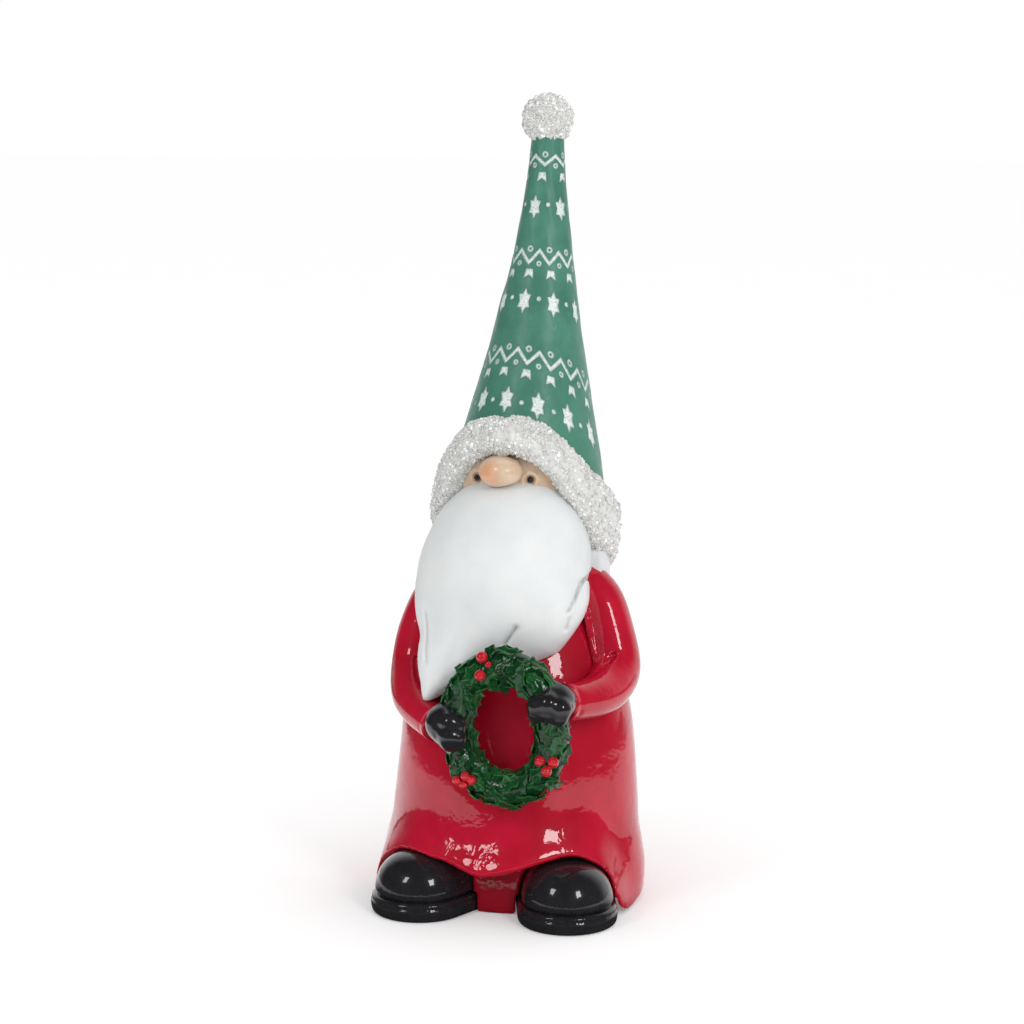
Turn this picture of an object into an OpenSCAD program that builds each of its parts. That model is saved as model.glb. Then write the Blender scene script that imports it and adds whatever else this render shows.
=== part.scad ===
// Standing garden gnome in painted cast resin. The figure faces -Y, its left side is +X, and Z is up.
// The origin is the centre of the base, on the ground. Everything above the boots leans back a little.

/* [Stance] */
// Backward lean of the body, head and hat, in degrees
lean_back = 4.7; // [0:0.1:6]
// Sideways lean towards the figure's left, in degrees
lean_side = 1.2; // [0:0.1:2]
// Turn of the head and hat towards the figure's right, in degrees
head_turn = 6; // [0:1:12]

/* [Robe] */
// Depth of the robe divided by its width
robe_depth = 0.84; // [0.78:0.01:0.92]
// Half width of the robe where it bulges above the ground
hem_r = 61; // [58:0.5:64]
// Half width of the robe at the elbows
waist_r = 51; // [48:0.5:54]
// Height of the closed top of the shoulders
shoulder_h = 158; // [156:0.5:160]
// Thickness of the cast walls
wall = 4.5; // [3.5:0.1:5.5]
// Thickness of the plate that closes the base
base_t = 5; // [4:0.1:7]

/* [Boots] */
// Radius of the round toe of a boot sole
toe_r = 22; // [20:0.5:23]
// Distance from the toe's centre back to the heel's centre
boot_len = 24; // [20:0.5:28]
// Thickness of a boot sole
sole_t = 9; // [7:0.5:10]
// Height of the top of a boot
boot_h = 30; // [27:0.5:32]

/* [Head] */
// Radius of the head
head_r = 33; // [31:0.5:34]
// Height of the head's centre
head_z = 198; // [196:0.5:200]
// Width of the nose
nose_w = 22; // [18:0.5:24]
// Distance between the eyes
eye_gap = 27; // [25:0.5:29]
// Diameter of an eye bead
eye_d = 3.2; // [2.4:0.1:4]

/* [Hat] */
// Height of the tip of the hat, under the pompom
hat_tip_z = 360; // [355:1:365]
// Thickness of the hat's wall
hat_wall = 3.2; // [2.6:0.1:4]
// Slope of the fur brim, high at the front and low at the back, in degrees
brim_slope = 40; // [37:1:42]
// Height of the centre of the fur brim
brim_z = 189; // [187:0.5:190]
// Diameter of the pompom
pompom_d = 25; // [22:0.5:27]

/* [Arms] */
// Radius of the sleeve at the elbow
elbow_r = 13; // [11.5:0.5:14]
// Radius of the sleeve at the cuff
cuff_r = 9; // [8:0.5:10]
// Half length of a mitten along the forearm
mitten_r = 14; // [13:0.5:15]

/* [Wreath] */
// Height of the wreath's centre
wreath_z = 95; // [93:0.5:97]
// Upright radius of the ring, to the centre of its tube
ring_r = 27.8; // [27:0.1:29]
// Radius of the ring's tube
tube_r = 8; // [7.5:0.1:8.5]
// Width of the wreath divided by its height
ring_oval = 0.91; // [0.88:0.01:0.94]
// Length of a holly leaf
leaf_len = 13; // [11:0.5:15]
// Diameter of a berry
berry_d = 5; // [4:0.1:6]

/* [Dowels] */
// Diameter of the wooden dowels that join the castings
dowel_d = 8; // [6:0.5:9]
// Diameter of the thin steel pins
pin_d = 3; // [2:0.5:3.5]

/* [Hidden] */
$fn = 64;
gap = 0.1;
huge = 400;

// Where each boot's toe is centred, and which way it points
right_toe = [-37, -37];
left_toe = [34, -38];
right_splay = -26;
left_splay = 16;

// Centres of the shoulder, elbow and wrist of each arm
right_arm = [[-30, 2, 138], [-46, -5, 112], [-26, -39, 97]];
left_arm = [[30, 5, 138], [47, 0, 112], [38, -44, 107]];

// Centre and turn of the wreath
wreath_at = [9, -54, wreath_z];
wreath_turn = -10;
// Place of each mitten round the wreath, in degrees from its left side
right_grip = 182;
left_grip = 26;
// Places of the three berry clusters round the wreath
top_cluster = 112;
right_cluster = 228;
left_cluster = 316;

right_hand = wreath_point(right_grip);
left_hand = wreath_point(left_grip);
nose_size = [nose_w / 2, 9, 7];
// Depth of the beard's top under the brim's plane, and where the hair behind it begins
beard_drop = 12.5;
hair_front = 10;
hair_r = 43;
hair_low = 152.5;
// The fur roll follows the hat, which is wider at the back where the brim is low
brim_r = 38;
brim_stretch = 1.29;
brim_back = 3;
brim_tall = 8;
roll_r = 7.8;
face_front = head_r - 1.5;
face_z = 6;
eye_angle = asin(eye_gap / 2 / head_r);

// Half widths of the robe and heights along its leaning axis, from below the ground to the shoulders
robe_side = [
    [hem_r - 6, -22], [hem_r - 3, -8], [hem_r - 0.5, 6], [hem_r, 18], [hem_r - 2.5, 46],
    [waist_r + 4, 85], [waist_r - 3, 115], [36, 145], [20, shoulder_h], [19, shoulder_h + 1]
];
// Radii of the hat and heights along its leaning axis, from inside the brim to the tip
hat_side = [
    [42, 110], [41.5, 140], [39.5, 168], [36.5, 195], [31.6, 225], [26, 248], [20.5, 270],
    [14.2, 303], [10, 331], [7.6, 354], [7, hat_tip_z], [7, hat_tip_z + 5]
];

// Smooth curve through the inner points of a list
function blend(a, b, c, d, t) = 0.5 * (2 * b + (c - a) * t + (2 * a - 5 * b + 4 * c - d) * t * t
    + (3 * b - a - 3 * c + d) * t * t * t);
function smooth(p, steps) = [
    for (i = [1 : len(p) - 3], s = [0 : steps - 1]) blend(p[i - 1], p[i], p[i + 1], p[i + 2], s / steps)
];
// Point on the wreath's centre line, an angle round it from the figure's left
function wreath_point(angle) = wreath_at
    + ring_r * [ring_oval * cos(angle) * cos(wreath_turn), ring_oval * cos(angle) * sin(wreath_turn), sin(angle)];

module leaned() {
    rotate([-lean_back, lean_side, 0]) children();
}

// The head and hat lean with the body and turn a little to the figure's right
module head_pose() {
    leaned() rotate([0, 0, -head_turn]) children();
}

module above_ground() {
    intersection() {
        children();
        translate([-huge / 2, -huge / 2, 0]) cube([huge, huge, huge]);
    }
}

// Solid of the robe, shrunk by an inset all round
module robe_solid(inset) {
    side = smooth(robe_side, 3);
    leaned() scale([1, robe_depth, 1]) rotate_extrude($fn = 2 * $fn) polygon(concat(
        [[0, side[0][1]]],
        [for (p = side) [p[0] - inset, min(p[1], shoulder_h - inset)]],
        [[0, shoulder_h - inset]]
    ));
}

// Round bar between two points
module bar(from, to, r1, r2) {
    run = to - from;
    translate(from)
        rotate([0, acos(run[2] / norm(run)), atan2(run[1], run[0])])
            cylinder(h = norm(run), r1 = r1, r2 = r2);
}

module ellipsoid(centre, radii) {
    translate(centre) scale(radii) sphere(1);
}

// Footprint of a boot grown by an amount, toe at the origin and pointing to -Y
module boot_outline(grow) {
    circle(r = toe_r + grow);
    translate([0, boot_len]) circle(r = toe_r - 2 + grow);
    translate([-toe_r + 2 - grow, 0]) square([2 * (toe_r - 2 + grow), boot_len]);
}

module place_boot(toe, splay) {
    translate([toe[0], toe[1], 0]) rotate([0, 0, splay]) children();
}

// Rounded shoe upper over the sole, grown by an amount
module boot_upper(grow) {
    difference() {
        union() {
            ellipsoid([0, 2, sole_t], [toe_r - 1.5 + grow, toe_r + 1 + grow, boot_h - sole_t + grow]);
            ellipsoid([0, boot_len - 2, sole_t], [toe_r - 3 + grow, toe_r - 3 + grow, boot_h - sole_t - 1 + grow]);
        }
        translate([-huge / 2, -huge / 2, sole_t - huge]) cube([huge, huge, huge]);
    }
}

module boot_sole(grow) {
    linear_extrude(height = sole_t + grow) boot_outline(grow);
}

// Everything a boot takes up in the robe
module boot_space(toe, splay, grow) {
    place_boot(toe, splay) {
        translate([0, 0, -grow]) boot_sole(grow + 0.01);
        boot_upper(grow);
    }
}

// Plain upright block round a boot, which keeps a wall behind it
module boot_block(toe, splay, grow) {
    place_boot(toe, splay) translate([0, 0, -huge / 2]) linear_extrude(height = huge / 2 + boot_h + grow)
        boot_outline(grow);
}

// Peg through the back of a boot into the robe
module boot_peg_bar(toe, splay, extra) {
    place_boot(toe, splay)
        translate([0, boot_len + 8, 16])
            rotate([-90, 0, 0])
                cylinder(h = 18 + extra, r = dowel_d / 2 - 1 + extra);
}

module neck_dowel_bar(extra) {
    leaned() translate([0, 0, 142 - extra]) cylinder(h = 40 + 2 * extra, r = dowel_d / 2 + 1 + extra);
}

module arm_dowel_bar(arm, extra) {
    inner = [arm[0][0] * 0.45, arm[0][1] + 5, arm[0][2] - 4];
    reach = (arm[0] - inner) / norm(arm[0] - inner);
    bar(inner - extra * reach, arm[0] + extra * reach, dowel_d / 2 - 0.5 + extra, dowel_d / 2 - 0.5 + extra);
}

module beard_peg_bar(extra) {
    translate([-2, -32 - extra, 140]) rotate([-90, 0, 0]) cylinder(h = 22 + 2 * extra, r = dowel_d / 2 - 1 + extra);
}

module wrist_pin_bar(arm, hand, extra) {
    reach = (hand - arm[2]) / norm(hand - arm[2]);
    bar(arm[2] - (9 + extra) * reach, arm[2] + (5 + extra) * reach, pin_d / 2 + extra, pin_d / 2 + extra);
}

module pompom_pin_bar(extra) {
    head_pose() translate([0, 0, hat_tip_z - 12 - extra]) cylinder(h = 22 + 2 * extra, r = pin_d / 2 + extra);
}

// Robe: one hollow casting, open at the base, with a well at the hem for each boot
module robe_shell() {
    color("firebrick") difference() {
        above_ground() robe_solid(0);
        difference() {
            robe_solid(wall);
            boot_block(right_toe, right_splay, wall);
            boot_block(left_toe, left_splay, wall);
        }
        boot_space(right_toe, right_splay, gap);
        boot_space(left_toe, left_splay, gap);
        boot_peg_bar(right_toe, right_splay, 0.05);
        boot_peg_bar(left_toe, left_splay, 0.05);
        neck_dowel_bar(0.05);
        arm_dowel_bar(right_arm, 0.05);
        arm_dowel_bar(left_arm, 0.05);
        beard_peg_bar(0.05);
    }
}

// Plate set into the open base, cut round the two boot wells
module base_plate() {
    color("gainsboro") difference() {
        intersection() {
            robe_solid(wall + gap);
            translate([-huge / 2, -huge / 2, 0]) cube([huge, huge, base_t]);
        }
        boot_space(right_toe, right_splay, wall + gap);
        boot_space(left_toe, left_splay, wall + gap);
    }
}

module boot(toe, splay) {
    difference() {
        place_boot(toe, splay) boot_upper(0);
        boot_peg_bar(toe, splay, 0.05);
    }
}

module right_boot() {
    color("black") boot(right_toe, right_splay);
}

module left_boot() {
    color("black") boot(left_toe, left_splay);
}

module right_sole() {
    color("dimgray") place_boot(right_toe, right_splay) boot_sole(0);
}

module left_sole() {
    color("dimgray") place_boot(left_toe, left_splay) boot_sole(0);
}

// Solid of a sleeve from shoulder to cuff
module sleeve_solid(arm) {
    translate(arm[0]) sphere(elbow_r + 0.5);
    bar(arm[0], arm[1], elbow_r, elbow_r);
    translate(arm[1]) sphere(elbow_r + 0.5);
    bar(arm[1], arm[2], elbow_r, cuff_r);
}

module sleeve(arm, hand) {
    difference() {
        sleeve_solid(arm);
        robe_solid(-gap);
        wreath_tube(gap);
        arm_dowel_bar(arm, 0.05);
        wrist_pin_bar(arm, hand, 0.05);
    }
}

module right_sleeve() {
    color("firebrick") sleeve(right_arm, right_hand);
}

module left_sleeve() {
    color("firebrick") sleeve(left_arm, left_hand);
}

// Mitten closed round the tube of the wreath
module mitten(arm, hand, thumb_side) {
    difference() {
        union() {
            ellipsoid(hand + [thumb_side * 1.5, -1, 0], [10.5, mitten_r, 10.5]);
            ellipsoid(hand + [-thumb_side * 4, -8, 7], [5, 6, 5]);
        }
        sleeve_solid(arm);
        wreath_tube(gap);
        wrist_pin_bar(arm, hand, 0.05);
        robe_solid(-gap);
    }
}

module right_mitten() {
    color("black") mitten(right_arm, right_hand, -1);
}

module left_mitten() {
    color("black") mitten(left_arm, left_hand, 1);
}

// Head with a flat under it, glued to the shoulders
module head_ball() {
    head_pose() translate([0, 0, head_z]) sphere(head_r);
}

// Oval nose, set part way into the face
module nose_bulb(extra) {
    head_pose() translate([0, -face_front, head_z + face_z]) scale(nose_size + [extra, extra, extra]) sphere(1);
}

module eye_ball(side, extra) {
    head_pose() translate([0, 0, head_z + face_z])
        rotate([0, 0, side * eye_angle])
            translate([0, -head_r + 0.6, -1]) sphere(eye_d / 2 + extra);
}

module head() {
    color("peachpuff") difference() {
        union() {
            head_ball();
            leaned() translate([0, 0, shoulder_h + gap]) cylinder(h = 20, r = 17);
        }
        neck_dowel_bar(0.05);
        nose_bulb(0);
        eye_ball(-1, 0.4);
        eye_ball(1, 0.4);
    }
}

module nose() {
    color("sandybrown") nose_bulb(0);
}

module right_eye() {
    color("black") eye_ball(-1, 0);
}

module left_eye() {
    color("black") eye_ball(1, 0);
}

// Round upper part of the beard, grown by a clearance
module beard_ball(extra) {
    translate([-4, -4, 154]) sphere(41.5 + extra);
}

// Beard: a broad mass that sweeps down to a tip on the figure's right
module beard_mass() {
    beard_ball(0);
    translate([-8, -17, 137]) sphere(27);
    bar([-14, -26, 132], [-25, -36, 108], 18, 5.5);
}

// Chest of the robe as the hollow back of the beard fits round it
module chest_space() {
    leaned() {
        translate([0, 0, 80]) cylinder(h = 60, r1 = waist_r + 8, r2 = 40);
        translate([0, 0, 140]) cylinder(h = shoulder_h - 140 + gap, r1 = 40, r2 = 27);
        translate([0, 0, shoulder_h]) cylinder(h = 22, r = 17 + gap);
    }
}

module beard() {
    color("white") difference() {
        beard_mass();
        chest_space();
        head_ball();
        sleeve_solid(right_arm);
        sleeve_solid(left_arm);
        beard_peg_bar(0.05);
        above_brim_plane(beard_drop);
    }
}

// Hair at the sides and nape, between the brim and the shoulders
module nape_hair() {
    color("white") difference() {
        leaned() translate([0, 2, hair_low]) scale([1, 0.92, 1]) cylinder(h = 28, r = hair_r);
        leaned() translate([0, 2, hair_low - 1]) cylinder(h = 30, r = hair_r - 11);
        brim_roll(gap);
        above_brim_plane(gap);
        beard_ball(gap);
        translate([-huge / 2, hair_front - huge, 0]) cube([huge, huge, huge]);
    }
}

// Solid of the hat, shrunk by an inset
module hat_solid(inset) {
    side = smooth(hat_side, 3);
    head_pose() rotate_extrude() polygon(concat(
        [[0, side[0][1]]],
        [for (p = side) [p[0] - inset, min(p[1], hat_tip_z - 3 * inset)]],
        [[0, hat_tip_z - 3 * inset]]
    ));
}

// Everything above the sloping plane of the brim, which can be dropped a little
module above_brim_plane(drop) {
    head_pose() translate([0, brim_back, brim_z - drop]) rotate([-brim_slope, 0, 0])
        translate([-huge / 2, -huge / 2, 0]) cube([huge, huge, huge]);
}

module hat_cone() {
    color("seagreen") difference() {
        intersection() {
            hat_solid(0);
            above_brim_plane(0);
        }
        hat_solid(hat_wall);
        head_ball();
        pompom_pin_bar(0.05);
    }
}

// Fur roll round the hat: a flattened ring that slopes down to the back
module brim_roll(grow) {
    head_pose() translate([0, brim_back, brim_z]) rotate([-brim_slope, 0, 0])
        scale([1, brim_stretch, 1]) rotate_extrude() translate([brim_r, 0]) {
            for (side = [-1, 1])
                translate([0, side * brim_tall / 2]) circle(r = roll_r + grow);
            translate([-roll_r - grow, -brim_tall / 2]) square([2 * (roll_r + grow), brim_tall]);
        }
}

module hat_brim() {
    color("whitesmoke") difference() {
        brim_roll(0);
        hat_solid(-gap);
        head_ball();
        robe_solid(-gap);
        sleeve_solid(right_arm);
        sleeve_solid(left_arm);
        nose_bulb(gap);
    }
}

module pompom() {
    color("whitesmoke") difference() {
        head_pose() translate([0, 0, hat_tip_z + pompom_d / 2 - 5]) sphere(pompom_d / 2);
        hat_solid(-gap);
        pompom_pin_bar(0.05);
    }
}

module place_wreath() {
    translate(wreath_at) rotate([0, 0, wreath_turn]) children();
}

module wreath_tube(grow) {
    place_wreath() scale([ring_oval, 1, 1]) rotate([90, 0, 0]) rotate_extrude()
        translate([ring_r, 0]) circle(r = tube_r + grow);
}

module wreath_ring() {
    color("darkgreen") wreath_tube(0);
}

// Flat holly leaf with three spines on each side, base at the origin and tip along +X
module holly_leaf() {
    half = leaf_len / 3.4;
    linear_extrude(height = 1.2) polygon([
        for (step = [0 : 6]) [leaf_len * step / 6, step == 0 || step == 6 ? 0 : half * (step % 2 == 1 ? 1 : 0.5)],
        for (step = [5 : -1 : 1]) [leaf_len * step / 6, -half * (step % 2 == 1 ? 1 : 0.5)]
    ]);
}

// Leaves lie on the outside and the front of the ring, all pointing the same way round
module holly_leaves() {
    color("green") place_wreath() scale([ring_oval, 1, 1])
        for (row = [0 : 3], step = [0 : 13]) {
            around = step * 360 / 14 + row * 9;
            tilt = [-65, -20, 25, 70][row];
            if (clear_of_hands(around))
                rotate([0, -around, 0]) translate([ring_r, 0, 0]) rotate([0, 0, -90 + tilt])
                    translate([tube_r + 0.15, 0, -leaf_len / 2]) rotate([0, -90, 0]) rotate([0, 0, 8])
                        translate([0, 0, -1.2]) holly_leaf();
        }
}

// Leaves stop where a mitten holds the ring
function clear_of_hands(angle) = abs(turn_between(angle, right_grip)) > 30
    && abs(turn_between(angle, left_grip)) > 30;
function turn_between(a, b) = (a - b + 540) % 360 - 180;

// Three berries on the front of the ring
module berries(cluster) {
    color("red") place_wreath()
        for (step = [0 : 2]) {
            angle = cluster + step * 9 - 9;
            reach = ring_r + (step == 1 ? 3 : -2);
            translate([reach * ring_oval * cos(angle), -tube_r - 2.6, reach * sin(angle)]) sphere(d = berry_d);
        }
}

module top_berries() {
    berries(top_cluster);
}

module right_berries() {
    berries(right_cluster);
}

module left_berries() {
    berries(left_cluster);
}

module neck_dowel() {
    color("burlywood") neck_dowel_bar(0);
}

module right_arm_dowel() {
    color("burlywood") arm_dowel_bar(right_arm, 0);
}

module left_arm_dowel() {
    color("burlywood") arm_dowel_bar(left_arm, 0);
}

module right_boot_peg() {
    color("burlywood") boot_peg_bar(right_toe, right_splay, 0);
}

module left_boot_peg() {
    color("burlywood") boot_peg_bar(left_toe, left_splay, 0);
}

module beard_peg() {
    color("burlywood") beard_peg_bar(0);
}

module right_wrist_pin() {
    color("silver") wrist_pin_bar(right_arm, right_hand, 0);
}

module left_wrist_pin() {
    color("silver") wrist_pin_bar(left_arm, left_hand, 0);
}

module pompom_pin() {
    color("silver") pompom_pin_bar(0);
}

robe_shell();
base_plate();
right_sleeve();
left_sleeve();
right_mitten();
left_mitten();
right_boot();
left_boot();
right_sole();
left_sole();
head();
nose();
right_eye();
left_eye();
beard();
nape_hair();
hat_cone();
hat_brim();
pompom();
wreath_ring();
holly_leaves();
top_berries();
right_berries();
left_berries();
neck_dowel();
right_arm_dowel();
left_arm_dowel();
right_boot_peg();
left_boot_peg();
beard_peg();
right_wrist_pin();
left_wrist_pin();
pompom_pin();
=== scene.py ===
"""Garden gnome in painted cast resin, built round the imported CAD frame.

Lengths inside the shape functions are millimetres in the frame's axes; meshes are made in metres.
"""

import math

import bpy
import numpy as np
from mathutils import Matrix, Vector


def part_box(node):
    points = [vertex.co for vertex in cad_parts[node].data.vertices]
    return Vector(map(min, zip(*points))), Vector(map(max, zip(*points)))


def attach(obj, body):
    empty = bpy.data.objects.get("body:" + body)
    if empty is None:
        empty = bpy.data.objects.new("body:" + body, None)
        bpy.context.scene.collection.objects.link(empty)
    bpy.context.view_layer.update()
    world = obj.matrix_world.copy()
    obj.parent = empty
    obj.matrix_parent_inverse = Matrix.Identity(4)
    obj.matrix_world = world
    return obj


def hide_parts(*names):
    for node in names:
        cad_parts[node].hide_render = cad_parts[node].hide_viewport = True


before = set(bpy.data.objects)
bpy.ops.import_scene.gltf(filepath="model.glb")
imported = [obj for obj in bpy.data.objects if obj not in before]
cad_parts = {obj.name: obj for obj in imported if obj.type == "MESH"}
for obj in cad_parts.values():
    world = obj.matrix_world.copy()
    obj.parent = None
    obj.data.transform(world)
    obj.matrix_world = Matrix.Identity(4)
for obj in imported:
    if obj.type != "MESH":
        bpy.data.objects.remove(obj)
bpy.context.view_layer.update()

MM = 0.001


# ---- places from the CAD frame


def middle(node):
    """Middle of a CAD node's box, in millimetres."""
    low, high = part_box(node)
    return (np.array(low) / MM + np.array(high) / MM) / 2


TOP = middle("pompom")
UP = TOP / np.linalg.norm(TOP)
RIGHT = np.cross(np.array([0.0, 1.0, 0.0]), UP)
RIGHT /= np.linalg.norm(RIGHT)
BACK = np.cross(UP, RIGHT)
LEAN = np.array([RIGHT, BACK, UP])
HEAD_TURN = math.radians(6)


def turn_z(angle):
    c, s = math.cos(angle), math.sin(angle)
    return np.array([[c, -s, 0], [s, c, 0], [0, 0, 1]])


# Rows are the axes of the leaning body, and of the head that turns on it
HEAD = turn_z(HEAD_TURN) @ LEAN


def in_pose(axes, points):
    """Coordinates of points along three axes."""
    return tuple(points[0] * a[0] + points[1] * a[1] + points[2] * a[2] for a in axes)


# ---- distance fields


def mix_min(a, b, soft):
    """Union of two solids with a fillet of that size."""
    h = np.clip(0.5 + 0.5 * (b - a) / soft, 0, 1)
    return b * (1 - h) + a * h - soft * h * (1 - h)


def mix_max(a, b, soft):
    """Intersection of two solids with a rounded edge of that size."""
    return -mix_min(-a, -b, soft)


def smooth_step(x, low, high):
    t = np.clip((x - low) / (high - low), 0, 1)
    return t * t * (3 - 2 * t)


def bell(x, wide, at=0.0):
    """1 at a place, falling smoothly to nothing over about twice that width."""
    return np.exp(-(((x - at) / wide) ** 2))


def unit(vectors):
    """The same directions with length one."""
    return vectors / np.linalg.norm(vectors, axis=-1, keepdims=True)


def polar(radius, angle, height):
    """Points at a radius from the hat's axis, an angle from its front and a height."""
    return np.stack([radius * np.sin(angle), -radius * np.cos(angle), height], -1)


def ball_gap(p, centre, radius):
    return np.sqrt(sum((p[i] - centre[i]) ** 2 for i in range(3))) - radius


def ellipsoid(p, centre, radii):
    k = [(p[i] - centre[i]) / radii[i] for i in range(3)]
    m = [(p[i] - centre[i]) / radii[i] ** 2 for i in range(3)]
    k0 = np.sqrt(k[0] ** 2 + k[1] ** 2 + k[2] ** 2)
    k1 = np.sqrt(m[0] ** 2 + m[1] ** 2 + m[2] ** 2)
    return k0 * (k0 - 1) / np.maximum(k1, 1e-6)


def limb(p, a, b, radius_a, radius_b):
    """Round bar between two points whose radius changes along it."""
    a, b = np.asarray(a, float), np.asarray(b, float)
    run = b - a
    t = sum((p[i] - a[i]) * run[i] for i in range(3)) / float(run @ run)
    t = np.clip(t, 0, 1)
    gap = np.sqrt(sum((p[i] - a[i] - t * run[i]) ** 2 for i in range(3)))
    return gap - (radius_a + (radius_b - radius_a) * t)


def chain(p, points, radii, soft):
    """Bars through a list of points, blended together."""
    d = limb(p, points[0], points[1], radii[0], radii[1])
    for i in range(1, len(points) - 1):
        d = mix_min(d, limb(p, points[i], points[i + 1], radii[i], radii[i + 1]), soft)
    return d


def spline(points, steps=12):
    """Catmull-Rom curve through a list of points, ends included."""
    pts = np.array([points[0], *points, points[-1]], float)
    out = []
    for i in range(1, len(pts) - 2):
        a, b, c, d = pts[i - 1 : i + 3]
        for t in np.arange(steps) / steps:
            out.append(
                0.5
                * (
                    2 * b
                    + (c - a) * t
                    + (2 * a - 5 * b + 4 * c - d) * t * t
                    + (3 * b - a - 3 * c + d) * t**3
                )
            )
    out.append(pts[-2])
    return np.array(out)


def profile(table):
    """Smooth function of one variable through (value at, value) pairs."""
    curve = spline(table)
    return lambda x: np.interp(x, curve[:, 0], curve[:, 1])


# ---- meshes


def polygonise(distance, low, high, cell):
    """Vertices and quads of the surface where distance(points) is zero, by surface nets."""
    low, high = np.asarray(low, float), np.asarray(high, float)
    count = np.ceil((high - low) / cell).astype(int) + 1
    axes = [(low[i] + cell * np.arange(count[i])).astype(np.float32) for i in range(3)]
    grid = distance(np.meshgrid(*axes, indexing="ij")).astype(np.float32)
    for axis in range(3):
        edge = [slice(None)] * 3
        for end in (0, -1):
            edge[axis] = end
            grid[tuple(edge)] = np.maximum(grid[tuple(edge)], cell * 0.5)
    corner = {}
    shape = np.array(grid.shape) - 1
    for i in (0, 1):
        for j in (0, 1):
            for k in (0, 1):
                corner[i, j, k] = grid[
                    i : i + shape[0], j : j + shape[1], k : k + shape[2]
                ]
    inside = sum((c < 0).astype(np.int8) for c in corner.values())
    active = (inside > 0) & (inside < 8)
    where = np.argwhere(active)
    index = np.full(active.shape, -1, np.int64)
    index[active] = np.arange(len(where))
    total = np.zeros((len(where), 3))
    hits = np.zeros(len(where))
    for axis in range(3):
        others = [a for a in range(3) if a != axis]
        for j in (0, 1):
            for k in (0, 1):
                start = [0, 0, 0]
                start[others[0]], start[others[1]] = j, k
                end = list(start)
                end[axis] = 1
                a = corner[tuple(start)][active]
                b = corner[tuple(end)][active]
                cross = (a < 0) != (b < 0)
                t = np.where(cross, a / np.where(cross, a - b, 1), 0)
                at = np.tile(np.array(start, float), (len(where), 1))
                at[:, axis] = t
                total[cross] += at[cross]
                hits[cross] += 1
    verts = low + cell * (where + total / hits[:, None])
    quads = []
    for axis in range(3):
        u, v = (axis + 1) % 3, (axis + 2) % 3
        first = [slice(1, -1)] * 3
        first[axis] = slice(0, -1)
        second = list(first)
        second[axis] = slice(1, None)
        a = grid[tuple(first)] < 0
        b = grid[tuple(second)] < 0
        crossing = np.argwhere(a != b)
        flip = a[tuple(crossing.T)]
        base = crossing.copy()
        base[:, u] += 1
        base[:, v] += 1
        ring = []
        for du, dv in ((0, 0), (-1, 0), (-1, -1), (0, -1)):
            cell_at = base.copy()
            cell_at[:, u] += du
            cell_at[:, v] += dv
            ring.append(index[tuple(cell_at.T)])
        ring = np.array(ring).T
        ring[~flip] = ring[~flip][:, ::-1]
        quads.append(ring)
    return verts, np.concatenate(quads)


def relax(distance, verts, quads, rounds=4, pull=0.6):
    """Evens out a surface net and settles its vertices on the surface."""
    edges = np.concatenate([quads[:, [i, (i + 1) % 4]] for i in range(4)])
    edges = np.concatenate([edges, edges[:, ::-1]])
    valence = np.bincount(edges[:, 0], minlength=len(verts))[:, None]
    for _ in range(rounds):
        near = np.zeros_like(verts)
        for axis in range(3):
            near[:, axis] = np.bincount(
                edges[:, 0], weights=verts[edges[:, 1], axis], minlength=len(verts)
            )
        verts = verts + pull * (near / np.maximum(valence, 1) - verts)
        verts = settle(distance, verts)
    return verts


def settle(distance, verts, reach=0.02):
    here = distance(list(verts.T))
    slope = np.array(
        [
            distance([verts[:, i] + (reach if i == axis else 0) for i in range(3)])
            - here
            for axis in range(3)
        ]
    ).T
    slope /= reach
    size = np.maximum((slope**2).sum(1), 0.05)
    step = np.clip(here / size, -1.0, 1.0)
    return verts - step[:, None] * slope


def make_mesh(name, verts, faces, material, smooth=True):
    """Mesh object in metres from vertices in millimetres."""
    mesh = bpy.data.meshes.new(name)
    faces = np.asarray(faces, np.int32)
    sides = faces.shape[1]
    mesh.vertices.add(len(verts))
    mesh.vertices.foreach_set("co", (np.asarray(verts) * MM).astype(np.float32).ravel())
    mesh.loops.add(faces.size)
    mesh.loops.foreach_set("vertex_index", faces.ravel())
    mesh.polygons.add(len(faces))
    mesh.polygons.foreach_set("loop_start", np.arange(0, faces.size, sides))
    mesh.polygons.foreach_set("use_smooth", np.full(len(faces), smooth))
    mesh.update(calc_edges=True)
    mesh.validate()
    obj = bpy.data.objects.new(name, mesh)
    bpy.context.scene.collection.objects.link(obj)
    mesh.materials.append(material)
    return obj


def sculpt(name, distance, low, high, cell, material, rounds=4):
    """Mesh of a distance field."""
    verts, quads = polygonise(distance, low, high, cell)
    verts = relax(distance, verts, quads, rounds)
    return make_mesh(name, verts, quads, material)


def finish_piece(obj, node):
    """Hands a piece to the frame in place of that CAD node."""
    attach(obj, "root")
    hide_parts(node)


def cast(name, node, distance, low, high, cell, material, rounds=4):
    """Finished piece made from a distance field."""
    obj = sculpt(name, distance, low, high, cell, material, rounds)
    finish_piece(obj, node)
    return obj


# ---- materials


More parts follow.
